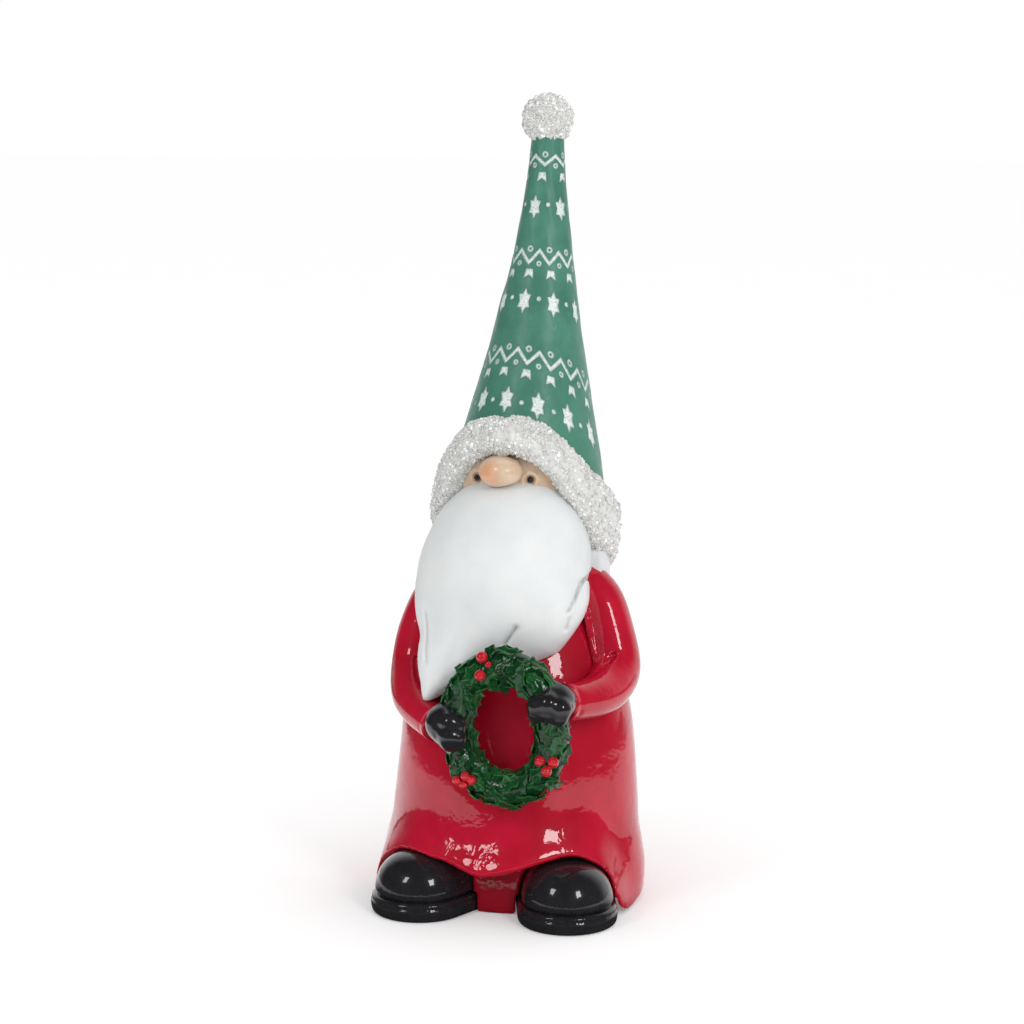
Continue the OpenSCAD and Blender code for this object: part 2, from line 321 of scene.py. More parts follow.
class Paint:
    """Node material whose texture space is the row frame in metres."""

    def __init__(self, name, color, rough, **sockets):
        self.mat = bpy.data.materials.new(name)
        self.mat.use_nodes = True
        self.tree = self.mat.node_tree
        self.tree.nodes.clear()
        out = self.out = self.tree.nodes.new("ShaderNodeOutputMaterial")
        self.shader = self.tree.nodes.new("ShaderNodeBsdfPrincipled")
        self.tree.links.new(self.shader.outputs[0], out.inputs[0])
        self.shader.inputs["Base Color"].default_value = (*color, 1)
        self.shader.inputs["Roughness"].default_value = rough
        for key, value in sockets.items():
            self.shader.inputs[key.replace("_", " ")].default_value = value
        self.place = self.tree.nodes.new("ShaderNodeTexCoord").outputs["Object"]
        self.normal = None

    def node(self, kind, **settings):
        n = self.tree.nodes.new(kind)
        for key, value in settings.items():
            setattr(n, key, value)
        return n

    def link(self, source, target):
        self.tree.links.new(source, target)

    def stretched(self, x, y, z):
        n = self.node("ShaderNodeMapping")
        n.inputs["Scale"].default_value = (x, y, z)
        self.link(self.place, n.inputs["Vector"])
        return n.outputs[0]

    def noise(self, size, detail=2.0, rough=0.5, distortion=0.0, place=None):
        """Noise whose features are about that many millimetres wide."""
        n = self.node("ShaderNodeTexNoise")
        n.inputs["Scale"].default_value = 1 / (size * MM)
        n.inputs["Detail"].default_value = detail
        n.inputs["Roughness"].default_value = rough
        n.inputs["Distortion"].default_value = distortion
        self.link(place or self.place, n.inputs["Vector"])
        return n.outputs["Fac"]

    def cells(self, size, feature="F1", output="Distance"):
        n = self.node("ShaderNodeTexVoronoi", feature=feature)
        n.inputs["Scale"].default_value = 1 / (size * MM)
        self.link(self.place, n.inputs["Vector"])
        return n.outputs[output]

    def attribute(self, name):
        return self.node("ShaderNodeAttribute", attribute_name=name).outputs["Fac"]

    def step(self, source, low, high, start=0.0, end=1.0):
        n = self.node("ShaderNodeMapRange", clamp=True)
        n.inputs["From Min"].default_value = low
        n.inputs["From Max"].default_value = high
        n.inputs["To Min"].default_value = start
        n.inputs["To Max"].default_value = end
        self.link(source, n.inputs["Value"])
        return n.outputs[0]

    def math(self, a, b, operation="MULTIPLY"):
        """Math node between two values or sockets, a product unless named otherwise."""
        n = self.node("ShaderNodeMath", operation=operation)
        for socket, value in zip(n.inputs, (a, b)):
            if isinstance(value, (int, float)):
                socket.default_value = value
            else:
                self.link(value, socket)
        return n.outputs[0]

    def mix(self, factor, a, b):
        n = self.node("ShaderNodeMix", data_type="RGBA")
        self.link(factor, n.inputs["Factor"])
        for socket, value in ((n.inputs[6], a), (n.inputs[7], b)):
            if isinstance(value, tuple):
                socket.default_value = (*value, 1)
            else:
                self.link(value, socket)
        return n.outputs[2]

    def color(self, source):
        self.link(source, self.shader.inputs["Base Color"])

    def roughness(self, source):
        self.link(source, self.shader.inputs["Roughness"])

    def clouds(self, noise, dark, light):
        """Two tones in soft patches."""
        return self.mix(self.step(self.noise(*noise), 0.35, 0.65), dark, light)

    def gloss(self, noise, low, high):
        """Roughness that varies in soft patches."""
        self.roughness(self.step(self.noise(*noise), 0.3, 0.7, low, high))

    def bump(self, height, depth, strength=1.0, coat=True):
        """Adds a relief of that many millimetres to the normal."""
        n = self.node("ShaderNodeBump")
        n.inputs["Strength"].default_value = strength
        n.inputs["Distance"].default_value = depth * MM
        self.link(height, n.inputs["Height"])
        if self.normal:
            self.link(self.normal, n.inputs["Normal"])
        self.normal = n.outputs[0]
        self.link(self.normal, self.shader.inputs["Normal"])
        if coat:
            self.link(self.normal, self.shader.inputs["Coat Normal"])

    def ball(self, centre, radius):
        """1 at a point given in millimetres, falling to 0 at the radius."""
        n = self.node("ShaderNodeVectorMath", operation="DISTANCE")
        self.link(self.place, n.inputs[0])
        n.inputs[1].default_value = tuple(float(c) * MM for c in centre)
        return self.step(n.outputs["Value"], 0, radius * MM, 1, 0)


def make_red():
    p = Paint(
        "red_lacquer", (0.42, 0.004, 0.018), 0.45,
        Coat_Weight=1.0, Coat_Roughness=0.03, Specular_IOR_Level=0.1,
    )
    tone = p.clouds((26, 3, 0.6), (0.40, 0.001, 0.016), (0.49, 0.003, 0.026))
    fleck = p.step(p.noise(1.6, 3, 0.7), 0.62, 0.72, 0, 0.25)
    tone = p.mix(fleck, tone, (0.30, 0.002, 0.01))
    # Painted shade: the red is darkened in the recess between the boots
    painted_recess_shade = p.step(p.ball((3, -42, 6), 26), 0.1, 0.5, 0, 0.6)
    p.color(p.mix(painted_recess_shade, tone, (0.13, 0.0, 0.003)))
    p.gloss((7, 2), 0.32, 0.46)
    p.bump(p.noise(9, 2, 0.5, 0.4), 0.22)
    # Lacquer that has run and wrinkled on the front of the hem
    pool = p.step(p.ball((-14, -50, 31), 34), 0.1, 0.6)
    p.bump(p.math(p.noise(8, 2, 0.5, 1.0), pool), 0.6)
    p.bump(p.noise(1.7, 2, 0.5), 0.02)
    return p.mat


def make_black():
    p = Paint(
        "black_gloss", (0.003, 0.003, 0.004), 0.4,
        Coat_Weight=1.0, Coat_Roughness=0.04, Specular_IOR_Level=0.1,
    )
    cloud = p.step(p.noise(8, 3, 0.6), 0.4, 0.65)
    p.color(p.mix(cloud, (0.013, 0.012, 0.014), (0.016, 0.015, 0.018)))
    p.gloss((4, 2), 0.18, 0.32)
    p.bump(p.noise(6, 2, 0.5, 0.3), 0.10)
    p.bump(p.noise(1.3, 2), 0.015)
    return p.mat


def make_white():
    p = Paint(
        "white_satin", (0.80, 0.82, 0.84), 0.5,
        Coat_Weight=0.12, Coat_Roughness=0.3, Specular_IOR_Level=0.3,
    )
    tone = p.clouds((22, 3, 0.55), (0.69, 0.715, 0.72), (0.75, 0.765, 0.765))
    # Darker along the deep beard grooves: painted shade, with a patchy antique wash
    groove = p.step(p.attribute("groove"), 0.1, 1.0, 0, 0.75)
    patchy_wash_and_shade = p.step(p.noise(2.5, 3, 0.6), 0.3, 0.7, 0.5, 1.0)
    p.color(p.mix(p.math(groove, patchy_wash_and_shade), tone, (0.22, 0.20, 0.18)))
    p.gloss((6, 2), 0.46, 0.62)
    strands = p.noise(3.2, 2, 0.5, 0.6, p.stretched(1, 1, 0.16))
    p.bump(strands, 0.10)
    p.bump(p.noise(0.9, 2), 0.015)
    return p.mat


def make_green():
    p = Paint(
        "sea_green_lacquer", (0.085, 0.262, 0.19), 0.42,
        Coat_Weight=0.2, Coat_Roughness=0.3, Specular_IOR_Level=0.2,
    )
    tone = p.clouds((18, 4, 0.6), (0.050, 0.185, 0.132), (0.072, 0.235, 0.170))
    wash = p.step(p.noise(5, 4, 0.7, 1.2), 0.60, 0.80, 0, 0.30)
    tone = p.mix(wash, tone, (0.25, 0.42, 0.36))
    # Painted shade: a thin darker band just outside each engraved motif, standing in for its shaded walls
    rim = p.step(p.attribute("rim"), 0.0, 1.0, 0, 0.45)
    tone = p.mix(rim, tone, (0.045, 0.16, 0.115))
    worn = p.step(p.noise(0.9, 3, 0.7), 0.30, 0.52, 0.35, 1.0)
    mask = p.math(p.attribute("paint"), worn)
    fill = p.mix(p.noise(1.4, 2), (0.58, 0.66, 0.64), (0.86, 0.88, 0.88))
    p.color(p.mix(mask, tone, fill))
    p.gloss((5, 3), 0.36, 0.50)
    p.bump(p.noise(6, 2, 0.5, 0.5), 0.12)
    p.bump(p.noise(0.8, 3), 0.02)
    return p.mat


def make_grit():
    p = Paint("sparkle_grit", (0.80, 0.79, 0.78), 0.40, Coat_Weight=0.3, Coat_Roughness=0.08)
    grain = p.attribute("grain")
    tone = p.mix(p.step(grain, 0.0, 0.6), (0.57, 0.57, 0.555), (0.72, 0.72, 0.70))
    glint = p.step(grain, 0.88, 0.90)
    p.color(p.mix(glint, tone, (0.97, 0.98, 1.0)))
    p.roughness(p.step(grain, 0.80, 0.92, 0.42, 0.08))
    p.bump(p.noise(0.5, 2), 0.05)
    return p.mat


def make_skin(nose_spot):
    p = Paint(
        "skin_paint", (0.80, 0.52, 0.38), 0.38,
        Coat_Weight=0.5, Coat_Roughness=0.12, Subsurface_Weight=0.08, Subsurface_Scale=0.002,
    )
    tone = p.clouds((7, 3, 0.6), (0.62, 0.44, 0.30), (0.71, 0.54, 0.40))
    # Painted shade: the skin is darker under the brim, round the eye pits and at the nose's edge
    low = p.step(p.attribute("groove"), 0, 1, 0, 0.7)
    tone = p.mix(low, tone, (0.36, 0.17, 0.08))
    p.color(p.mix(p.math(p.ball(nose_spot, 8), 0.8), tone, (0.74, 0.28, 0.11)))
    p.gloss((4, 2), 0.32, 0.46)
    p.bump(p.noise(3, 2), 0.05)
    return p.mat


def make_holly():
    p = Paint(
        "holly_green_gloss", (0.02, 0.10, 0.04), 0.42,
        Coat_Weight=1.0, Coat_Roughness=0.03, Specular_IOR_Level=0.05,
    )
    tone = p.clouds((3, 3, 0.6), (0.003, 0.038, 0.009), (0.010, 0.100, 0.022))
    edge = p.step(p.attribute("wash"), 0.2, 1.0, 0, 0.6)
    edge = p.math(edge, p.step(p.noise(2.2, 2), 0.35, 0.65))
    tone = p.mix(edge, tone, (0.035, 0.26, 0.050))
    # Random darker tone per leaf; the core gets the darkest, a painted shade in the gaps between leaves
    p.color(p.mix(p.step(p.attribute("tone"), 0, 1, 0, 0.75), tone, (0.002, 0.020, 0.006)))
    p.gloss((2, 2), 0.24, 0.42)
    p.bump(p.noise(2.2, 3, 0.6), 0.28)
    return p.mat


def make_berry():
    p = Paint(
        "berry_red_gloss", (0.55, 0.010, 0.02), 0.35,
        Coat_Weight=1.0, Coat_Roughness=0.04, Specular_IOR_Level=0.2,
    )
    p.color(p.clouds((1.5, 2), (0.40, 0.003, 0.012), (0.56, 0.010, 0.022)))
    p.gloss((1, 2), 0.2, 0.34)
    p.bump(p.noise(1.4, 2), 0.05)
    return p.mat


def make_wood():
    p = Paint("dowel_wood", (0.55, 0.36, 0.19), 0.62)
    grain = p.noise(1.2, 4, 0.6, 1.5, p.stretched(1, 1, 0.12))
    p.color(p.mix(p.step(grain, 0.35, 0.65), (0.42, 0.25, 0.12), (0.64, 0.44, 0.25)))
    p.roughness(p.step(grain, 0.3, 0.7, 0.52, 0.72))
    p.bump(grain, 0.08)
    return p.mat


def make_steel():
    p = Paint("pin_steel", (0.56, 0.57, 0.58), 0.28, Metallic=1.0)
    drawn = p.noise(0.5, 3, 0.6, 0.2, p.stretched(1, 1, 0.05))
    p.color(p.mix(p.step(drawn, 0.3, 0.7), (0.44, 0.45, 0.46), (0.63, 0.64, 0.65)))
    p.roughness(p.step(drawn, 0.3, 0.7, 0.2, 0.42))
    p.bump(drawn, 0.02)
    return p.mat


def make_resin():
    p = Paint("bare_resin", (0.62, 0.59, 0.52), 0.55)
    tone = p.clouds((9, 3, 0.6), (0.56, 0.53, 0.46), (0.68, 0.65, 0.58))
    pit = p.step(p.cells(2.2), 0.0, 0.16, 1, 0)
    p.color(p.mix(pit, tone, (0.30, 0.28, 0.24)))
    p.gloss((3, 2), 0.48, 0.66)
    p.bump(pit, 0.2)
    return p.mat


def make_floor():
    p = Paint(
        "pale_floor", (0.90, 0.90, 0.90), 0.60,
        Emission_Color=(1, 1, 1, 1), Emission_Strength=0.24, Specular_IOR_Level=0.0,
    )
    cloud = p.step(p.noise(120, 3, 0.5), 0.3, 0.7)
    p.color(p.mix(cloud, (0.895, 0.895, 0.895), (0.905, 0.905, 0.905)))
    # The sheet glows evenly, and less under the figure, which paints a shadow round the base
    glow_with_painted_shadow = p.step(p.ball((0, 0, 0), 260), 0.05, 0.7, 0.27, 0.20)
    p.link(glow_with_painted_shadow, p.shader.inputs["Emission Strength"])
    # In mirror reflections the sheet is dark close in front, and dark far off except behind
    shade = p.node("ShaderNodeBsdfDiffuse")
    shade.inputs["Color"].default_value = (0.05, 0.05, 0.05, 1)
    near = p.step(p.ball((0, -30, 0), 300), 0.25, 0.55)
    spot = p.node("ShaderNodeSeparateXYZ")
    p.link(p.place, spot.inputs[0])
    far = p.step(p.ball((0, 0, 0), 1000), 0.36, 0.52, 1, 0)
    across = p.math(spot.outputs["X"], 0.0, "ABSOLUTE")
    behind = p.math(spot.outputs["Y"], across, "SUBTRACT")
    beside = p.step(behind, -0.15, 0.15, 1, 0)
    near = p.math(near, p.step(spot.outputs["Y"], -0.03, 0.02, 1, 0))
    dark = p.math(near, p.math(far, beside), "MAXIMUM")
    seen = p.node("ShaderNodeMixShader")
    mirror = p.node("ShaderNodeLightPath").outputs["Is Glossy Ray"]
    p.link(p.math(dark, mirror), seen.inputs[0])
    p.link(p.shader.outputs[0], seen.inputs[1])
    p.link(shade.outputs[0], seen.inputs[2])
    p.link(seen.outputs[0], p.out.inputs[0])
    return p.mat


# ---- shape helpers


def tag(obj, name, values):
    """Stores one number per vertex under that name."""
    layer = obj.data.attributes.new(name, "FLOAT", "POINT")
    layer.data.foreach_set("value", np.asarray(values, np.float32))


def vertices_of(obj):
    """Vertices in millimetres, as three arrays."""
    co = np.zeros(len(obj.data.vertices) * 3, np.float32)
    obj.data.vertices.foreach_get("co", co)
    return list(co.reshape(-1, 3).T.astype(float) / MM)


def to_path(p, points, axes=(0, 2)):
    """Distance to a polyline seen along the third axis."""
    best = None
    for a, b in zip(points[:-1], points[1:]):
        run = (b[0] - a[0], b[1] - a[1])
        u, v = p[axes[0]] - a[0], p[axes[1]] - a[1]
        t = np.clip((u * run[0] + v * run[1]) / (run[0] ** 2 + run[1] ** 2), 0, 1)
        d = (u - t * run[0]) ** 2 + (v - t * run[1]) ** 2
        best = d if best is None else np.minimum(best, d)
    return np.sqrt(best)


# ---- boots

BOOT_LEN = 24
TOE_R = 22.5
BOOTS = {
    "right": {"toe": (-37.0, -37.0), "splay": math.radians(-26)},
    "left": {"toe": (34.0, -38.0), "splay": math.radians(16)},
}


def plan_gap(p, boot, radius):
    """Distance in plan to the outline of a boot."""
    toe = np.array(boot["toe"])
    heel = toe + BOOT_LEN * np.array([-math.sin(boot["splay"]), math.cos(boot["splay"])])
    run = heel - toe
    t = np.clip(((p[0] - toe[0]) * run[0] + (p[1] - toe[1]) * run[1]) / (run @ run), 0, 1)
    return np.hypot(p[0] - toe[0] - t * run[0], p[1] - toe[1] - t * run[1]) - radius


def boot_dome(p, boot, grow=0.0):
    """Rounded upper of a boot, bulging out over its welt."""
    out = plan_gap(p, boot, 0.0)
    wide, tall, power = 21.6 + grow, 21.0 + grow, 2.35
    up = np.maximum(p[2] - 8.0, 0)
    d = ((out / wide) ** power + (up / tall) ** power) ** (1 / power)
    d = (d - 1) * wide * 0.92
    tuck = 1.6 * bell(p[2], 1.5, 8.6)
    return mix_max(d + tuck, 7.6 - p[2], 0.6)


def boot_sole(p, boot):
    """Thick sole with a lipped edge and a groove round it."""
    side = plan_gap(p, boot, TOE_R)
    bulge = 0.9 * (1 - ((p[2] - 4.6) / 4.6) ** 2)
    groove = 0.8 * bell(p[2], 0.55, 6.6)
    side = side - bulge + groove
    return mix_max(mix_max(side, p[2] - 9.0, 2.0), 0.05 - p[2], 1.6)


def make_boots(black):
    for side, boot in BOOTS.items():
        toe = np.array([*boot["toe"], 0.0])
        low, high = toe - [28, 27, 2], toe + [28, 50, 34]
        cast(
            f"{side}_boot_upper", f"{side}_boot",
            lambda p: boot_dome(p, boot), low, high, 0.9, black,
        )
        cast(
            f"{side}_boot_sole", f"{side}_sole",
            lambda p: boot_sole(p, boot), low, [*high[:2], 12], 0.8, black,
        )


# ---- robe

ROBE_LEAN = UP[1] / UP[2]
ROBE_SHIFT = (-1.8, 0.006)
ROBE_DEPTH = 0.84
# How far the recess between the boots goes in behind the hem
HEM_DEPTH = 19
robe_side = profile([
    (-24, 58), (-10, 62), (4, 64), (16, 64), (27, 62), (36, 60), (47, 59), (69, 57),
    (88, 55), (105, 51.5), (118, 48), (130, 43), (142, 37), (152, 29), (162, 21), (190, 18),
])
hem_height = profile([
    (-80, -14), (-68, -6), (-63, 8), (-58, 19), (-47, 26), (-26, 27.4), (-14, 24.5), (-5, 22.5), (9, 25),
    (25, 29.5), (36.5, 31), (45, 27), (51, 18), (56, 5), (62, -8), (80, -16),
])


def robe_round(p):
    """Coordinates across and along the robe, as a round body."""
    x = p[0] - ROBE_SHIFT[0] - ROBE_SHIFT[1] * p[2]
    y = (p[1] - ROBE_LEAN * p[2]) / ROBE_DEPTH
    return x, y, np.hypot(x, y)


def robe(p):
    x, y, rho = robe_round(p)
    front = smooth_step(-y, 0, 26)
    hem = hem_height(p[0])
    over = p[2] - hem
    flare = 4.0 * bell(over, 9.5, 1) - 1.6 * bell(over, 13, 19)
    swing = 1.5 * np.sin(p[0] / 9.0 + 0.6) * bell(over, 13, 6)
    radius = robe_side(p[2]) + front * (flare + swing * smooth_step(40 - np.abs(p[0]), -10, 10))
    sway = 0.7 * np.sin(3 * np.arctan2(x, -y) + p[2] / 26) * smooth_step(110 - p[2], 0, 40)
    d = (rho - radius - sway) * 0.86
    d = mix_max(d, p[2] - 158, 10)
    d = mix_max(d, 0.1 - p[2], 5.5)
    slope = hem_height(p[0] + 0.5) - hem_height(p[0] - 0.5)
    below = over / np.sqrt(1 + slope**2)
    inner = robe_side(p[2]) - HEM_DEPTH - rho
    hollow = mix_max(below, inner * 0.86, 5)
    hollow = mix_max(hollow, y + 2, 6)
    d = mix_max(d, -hollow, 3.2)
    for boot in BOOTS.values():
        d = mix_max(d, -boot_dome(p, boot, 0.5), 1.2)
    soles = np.minimum(plan_gap(p, BOOTS["right"], TOE_R + 1.2), plan_gap(p, BOOTS["left"], TOE_R + 1.2))
    return mix_max(d, -mix_max(soles, p[2] - 9.4, 0.8), 0.8)


def make_robe(red):
    cast("robe_body", "robe_shell", robe, [-68, -60, -2], [66, 70, 162], 1.25, red)


def make_base(resin):
    """Filled base, a little inside the robe's edge and flush with the ground."""

    def plate(p):
        inside = robe([p[0], p[1], p[2] + 6]) + 5.5
        return mix_max(mix_max(inside, p[2] - 5, 1), 0.02 - p[2], 0.3)

    low, high = [-62, -52, -2], [62, 60, 8]
    cast("base_plate_cast", "base_plate", plate, low, high, 1.1, resin)


# ---- arms

# Centre line and radius of each sleeve, from inside the shoulder to the wrist
ARMS = {
    "right": [
        (-26, 9, 152, 11.5), (-38, 4, 143.5, 11.5), (-45, -1, 128, 11.6), (-47.3, -7, 111, 11.7),
        (-45, -20, 100.5, 10.4), (-38, -32, 95.5, 9.1), (-25.5, -46.0, 91.8, 8.2),
    ],
    "left": [
        (27, 10, 153, 11.5), (38.5, 6, 144, 11.5), (45, 2, 129, 11.6), (49.0, -4, 114, 11.8),
        (48, -17, 107.2, 10.8), (43.5, -32, 105.6, 9.3), (34.4, -49.0, 106.4, 8.2),
    ],
}
# Raised edge inside the left sleeve, and the crease above each forearm
SEAM = [(31.5, -4, 152), (35.5, -7.5, 140), (38.5, -9.5, 127), (41.5, -12, 118)]
FOLDS = {
    "right": [(-47, -10, 119), (-41, -24, 109), (-32, -36, 103)],
    "left": [(51, -8, 122), (44, -24, 117), (35.5, -40, 115)],
}


def sleeve(p, side):
    line = spline(ARMS[side], 7)
    d = None
    for a, b in zip(line[:-1], line[1:]):
        piece = limb(p, a[:3], b[:3], a[3], b[3])
        d = piece if d is None else np.minimum(d, piece)
    wrist, before = line[-1][:3], line[-3][:3]
    along = (wrist - before) / np.linalg.norm(wrist - before)
    reach = sum((p[i] - wrist[i]) * along[i] for i in range(3))
    d = d - 0.35 * bell(reach, 1.3) + 0.3 * bell(reach, 1.2, -3.2) * (reach > -9)
    if side == "left":
        d = mix_min(d, chain(p, spline(SEAM, 4), [1.3] * 99, 0.5), 1.8)
    fold = chain(p, FOLDS[side], [0, 0, 0], 1)
    d = d + 2.2 * bell(fold, 1.8)
    return mix_max(d, reach - 0.4, 1.2)


def make_sleeves(red):
    for side, arm in ARMS.items():
        points = np.array(arm, float)[:, :3]
        low, high = points.min(0) - 15, points.max(0) + 15
        cast(
            f"{side}_sleeve_cast", f"{side}_sleeve",
            lambda p: sleeve(p, side), low, high, 0.95, red,
        )


# ---- wreath frame

WREATH = np.array([8.6, -55.0, 94.8])
WREATH_TURN = math.radians(-10)
RING_WIDE, RING_TALL, TUBE_R = 23.4, 28.6, 8.6
# Rows are the wreath's axes: across, out of its plane towards the front, and up
WREATH_AXES = np.array([
    [math.cos(WREATH_TURN), math.sin(WREATH_TURN), 0],
    [math.sin(WREATH_TURN), -math.cos(WREATH_TURN), 0],
    [0, 0, 1.0],
])


def tube_normal(angle, tube_angle):
    """Direction out of the tube, in the wreath's axes."""
    out = unit(np.array([RING_TALL * math.cos(angle), 0, RING_WIDE * math.sin(angle)]))
    return math.sin(tube_angle) * out + math.cos(tube_angle) * np.array([0, 1.0, 0])


def on_ring(angle, tube_angle, radius):
    """Point on the ring's tube. Angle 0 is at the figure's left, and tube angle 0 faces the front."""
    spine = np.array([RING_WIDE * math.cos(angle), 0, RING_TALL * math.sin(angle)])
    return WREATH + (spine + radius * tube_normal(angle, tube_angle)) @ WREATH_AXES


def ring_axes(angle, tube_angle):
    """Unit normal of the tube, its direction round the ring, and the third axis, in the row frame."""
    normal = tube_normal(angle, tube_angle)
    run = unit(np.array([-RING_WIDE * math.sin(angle), 0, RING_TALL * math.cos(angle)]))
    across = np.cross(normal, run)
    return normal @ WREATH_AXES, run @ WREATH_AXES, across @ WREATH_AXES


def ring_gap(p):
    """Distance to the ring's tube."""
    local = [sum((p[i] - WREATH[i]) * WREATH_AXES[k][i] for i in range(3)) for k in range(3)]
    angle = np.arctan2(local[2] / RING_TALL, local[0] / RING_WIDE)
    x, z = RING_WIDE * np.cos(angle), RING_TALL * np.sin(angle)
    return np.sqrt((local[0] - x) ** 2 + local[1] ** 2 + (local[2] - z) ** 2) - TUBE_R


# ---- mittens


def mitten(p, hand):
    """Mitten with softly grooved fingers that wrap round the ring."""
    wrist, palm = np.array(hand["wrist"], float), np.array(hand["palm"], float)
    offset, radii = hand["swell"]
    d = mix_min(limb(p, wrist, palm, 7.4, 8.2), ellipsoid(p, palm + offset, radii), 3)
    for finger in hand["fingers"]:
        d = mix_min(d, chain(p, finger, [4.8, 4.6, 3.9], 3), 1.9)
    return d


MITTENS = {
    "right": {
        "wrist": (-24.5, -47.5, 92.6),
        "palm": (-20.5, -52.5, 95.0),
        "swell": ((1.8, -2.2, 0), (9.8, 8.8, 9.6)),
        "fingers": [
            ((-19.5, -58, 98.2), (-15.5, -61.3, 97.2), (-12.0, -61.0, 96.0)),
            ((-19.5, -59, 92.6), (-15.2, -62.4, 91.4), (-11.6, -62.0, 90.6)),
            ((-19.0, -57.5, 90.0), (-15.5, -60.6, 88.8), (-12.6, -60.4, 88.2)),
        ],
    },
    "left": {
        "wrist": (34.0, -50.0, 106.6),
        "palm": (31.8, -55.5, 108.6),
        "swell": ((0.4, -2.2, 0.6), (9.8, 9.2, 8.8)),
        "fingers": [
            ((27.0, -61, 110.6), (26.4, -65.4, 108.6), (26.0, -65.8, 104.6)),
            ((31.6, -62, 112.0), (31.4, -66.6, 110.0), (31.0, -67.2, 105.4)),
            ((36.2, -61, 110.0), (36.6, -65.2, 107.8), (36.2, -65.8, 103.4)),
        ],
    },
}


def make_mittens(black):
    for side, hand in MITTENS.items():
        palm = np.array(hand["palm"])
        cast(
            f"{side}_mitten_cast", f"{side}_mitten",
            lambda p: mitten(p, hand), palm - 22, palm + 22, 0.6, black,
        )


# ---- head and face


HEAD_C = np.array([1.0, 16.0, 198.0])
HEAD_R = 33.0
NOSE = np.array([-2.4, -19.8, 207.2])
EYES = {"right": np.array([-15.4, -13.4, 202.8]), "left": np.array([10.4, -14.4, 202.9])}


def head_shape(p):
    d = ball_gap(p, HEAD_C, HEAD_R)
    for eye in EYES.values():
        away = np.sqrt((p[0] - eye[0]) ** 2 + (p[2] - eye[2]) ** 2)
        front = p[1] < 0
        d = d + front * (1.5 * bell(away, 1.9) - 1.1 * bell(away, 0.9, 3.3))
    return d


def make_face(skin, black):
    low, high = HEAD_C - 36, HEAD_C + [36, 34, 32]
    head = cast("head_cast", "head", head_shape, low, high, 1.0, skin)
    p = vertices_of(head)
    # Painted shade: a ring round each eye pit and a band under the brim
    dark = np.zeros(len(p[0]))
    for eye in EYES.values():
        away = np.sqrt((p[0] - eye[0]) ** 2 + (p[2] - eye[2]) ** 2)
        dark = np.maximum(dark, 0.5 * bell(away, 0.7, 1.9))
    top = 0.25 * smooth_step(p[2], 208, 217)
    tag(head, "groove", np.maximum(dark, top))

    def nose(q):
        d = ellipsoid(q, NOSE, (10.3, 9.0, 7.3))
        return d + 0.35 * np.sin(q[0] / 3.0 + 1) * np.sin(q[2] / 2.6)

    bulb = cast("nose_bulb", "nose", nose, NOSE - 14, NOSE + 14, 0.6, skin)
    q = vertices_of(bulb)
    # Painted shade at the nose's edge, where it meets the face
    away = np.hypot((q[0] - NOSE[0]) / 11, (q[2] - NOSE[2]) / 7)
    tag(bulb, "groove", 0.8 * smooth_step(away, 0.86, 1.1))
    for side, eye in EYES.items():
        cast(
            f"{side}_eye_bead", f"{side}_eye",
            lambda q: ellipsoid(q, eye, (1.45, 1.6, 1.6)), eye - 3, eye + 3, 0.3, black,
        )


# ---- beard and hair

BEARD_GROOVES = [
    ([(35.8, 157.4), (34.6, 150.2), (32.5, 145.6)], 0.9, 1.5),
    ([(33.2, 142.4), (31.6, 137.2)], 0.9, 0.9),
    ([(-34.5, 142), (-33.0, 131), (-31.5, 121)], 0.9, 0.9),
    ([(10.6, 139), (8.2, 135.4), (5.0, 130.5)], 1.2, 1.9),
]
# Depth of a groove that gets the full painted shade and wash
FULL_GROOVE = 1.6
BEARD_STRANDS = [
    ([(-12.7, 146), (-16.5, 132), (-21.5, 114)], 2.6, 0.7),
    ([(22, 146), (19, 137), (14, 128)], 3.0, 0.5),
    ([(-30, 168), (-31, 148), (-27, 128), (-25, 110)], 5, 0.5),
    ([(-8, 165), (-11, 146), (-17, 128)], 6, 0.5),
    ([(14, 168), (13, 150), (6, 137)], 6, 0.5),
]
# Outline of the beard seen from the front, down its right side to the tip and up its left side
BEARD_OUTLINE = [
    (-39, 196), (-42.5, 178), (-47, 163), (-48, 152), (-47, 143), (-45.5, 131), (-41.5, 119), (-38, 109),
    (-35.5, 100.5), (-31, 101.5), (-14, 110), (0, 115.5), (16, 119), (26, 123.5), (31.5, 131), (36.5, 139),
    (40, 147), (41.5, 158), (41, 172), (37, 200), (0, 230),
]


def beard(p):
    d = ball_gap(p, (-5, -3.5, 155), 42)
    d = mix_min(d, ellipsoid(p, (0.5, -3.5, 171.5), (36.5, 33.5, 33)), 6)
    d = mix_min(d, ellipsoid(p, (0, -18, 140), (44, 26, 30)), 10)
    tip = chain(p, [(-10, -22, 130), (-24, -31, 117), (-30.5, -38.5, 105)], [23, 16, 9.5], 8)
    d = mix_min(d, tip, 8)
    edge = polygon_gap(p[0] + 0.05 * (p[1] + 20), p[2], BEARD_OUTLINE)
    d = mix_max(d, edge * 0.9 + 0.2, 9)
    seen = smooth_step(-p[1], -6, 4)
    for path, wide, deep in BEARD_GROOVES + BEARD_STRANDS:
        d = d + seen * deep * bell(to_path(p, path), wide)
    return mix_max(d, p[1] - 14, 4)


# Radius of the fur roll's spine at a height, and its edges at an angle from the front
brim_spine = profile([
    (140, 36.5), (165, 37.5), (180, 37.6), (195, 36.5), (210, 34.6), (223, 32.2),
    (234, 29.6), (245, 27),
])
brim_low = profile([
    (-0.6, 208), (0, 214), (0.5, 208), (0.87, 193), (1.22, 177), (1.57, 167),
    (1.92, 160.5), (2.5, 153), (3.15, 150), (3.8, 151),
])
brim_high = profile([
    (-0.6, 226), (0, 229), (0.5, 226.5), (0.87, 217.5), (1.22, 206), (1.57, 198),
    (1.92, 191), (2.5, 182), (3.15, 178), (3.8, 180),
])


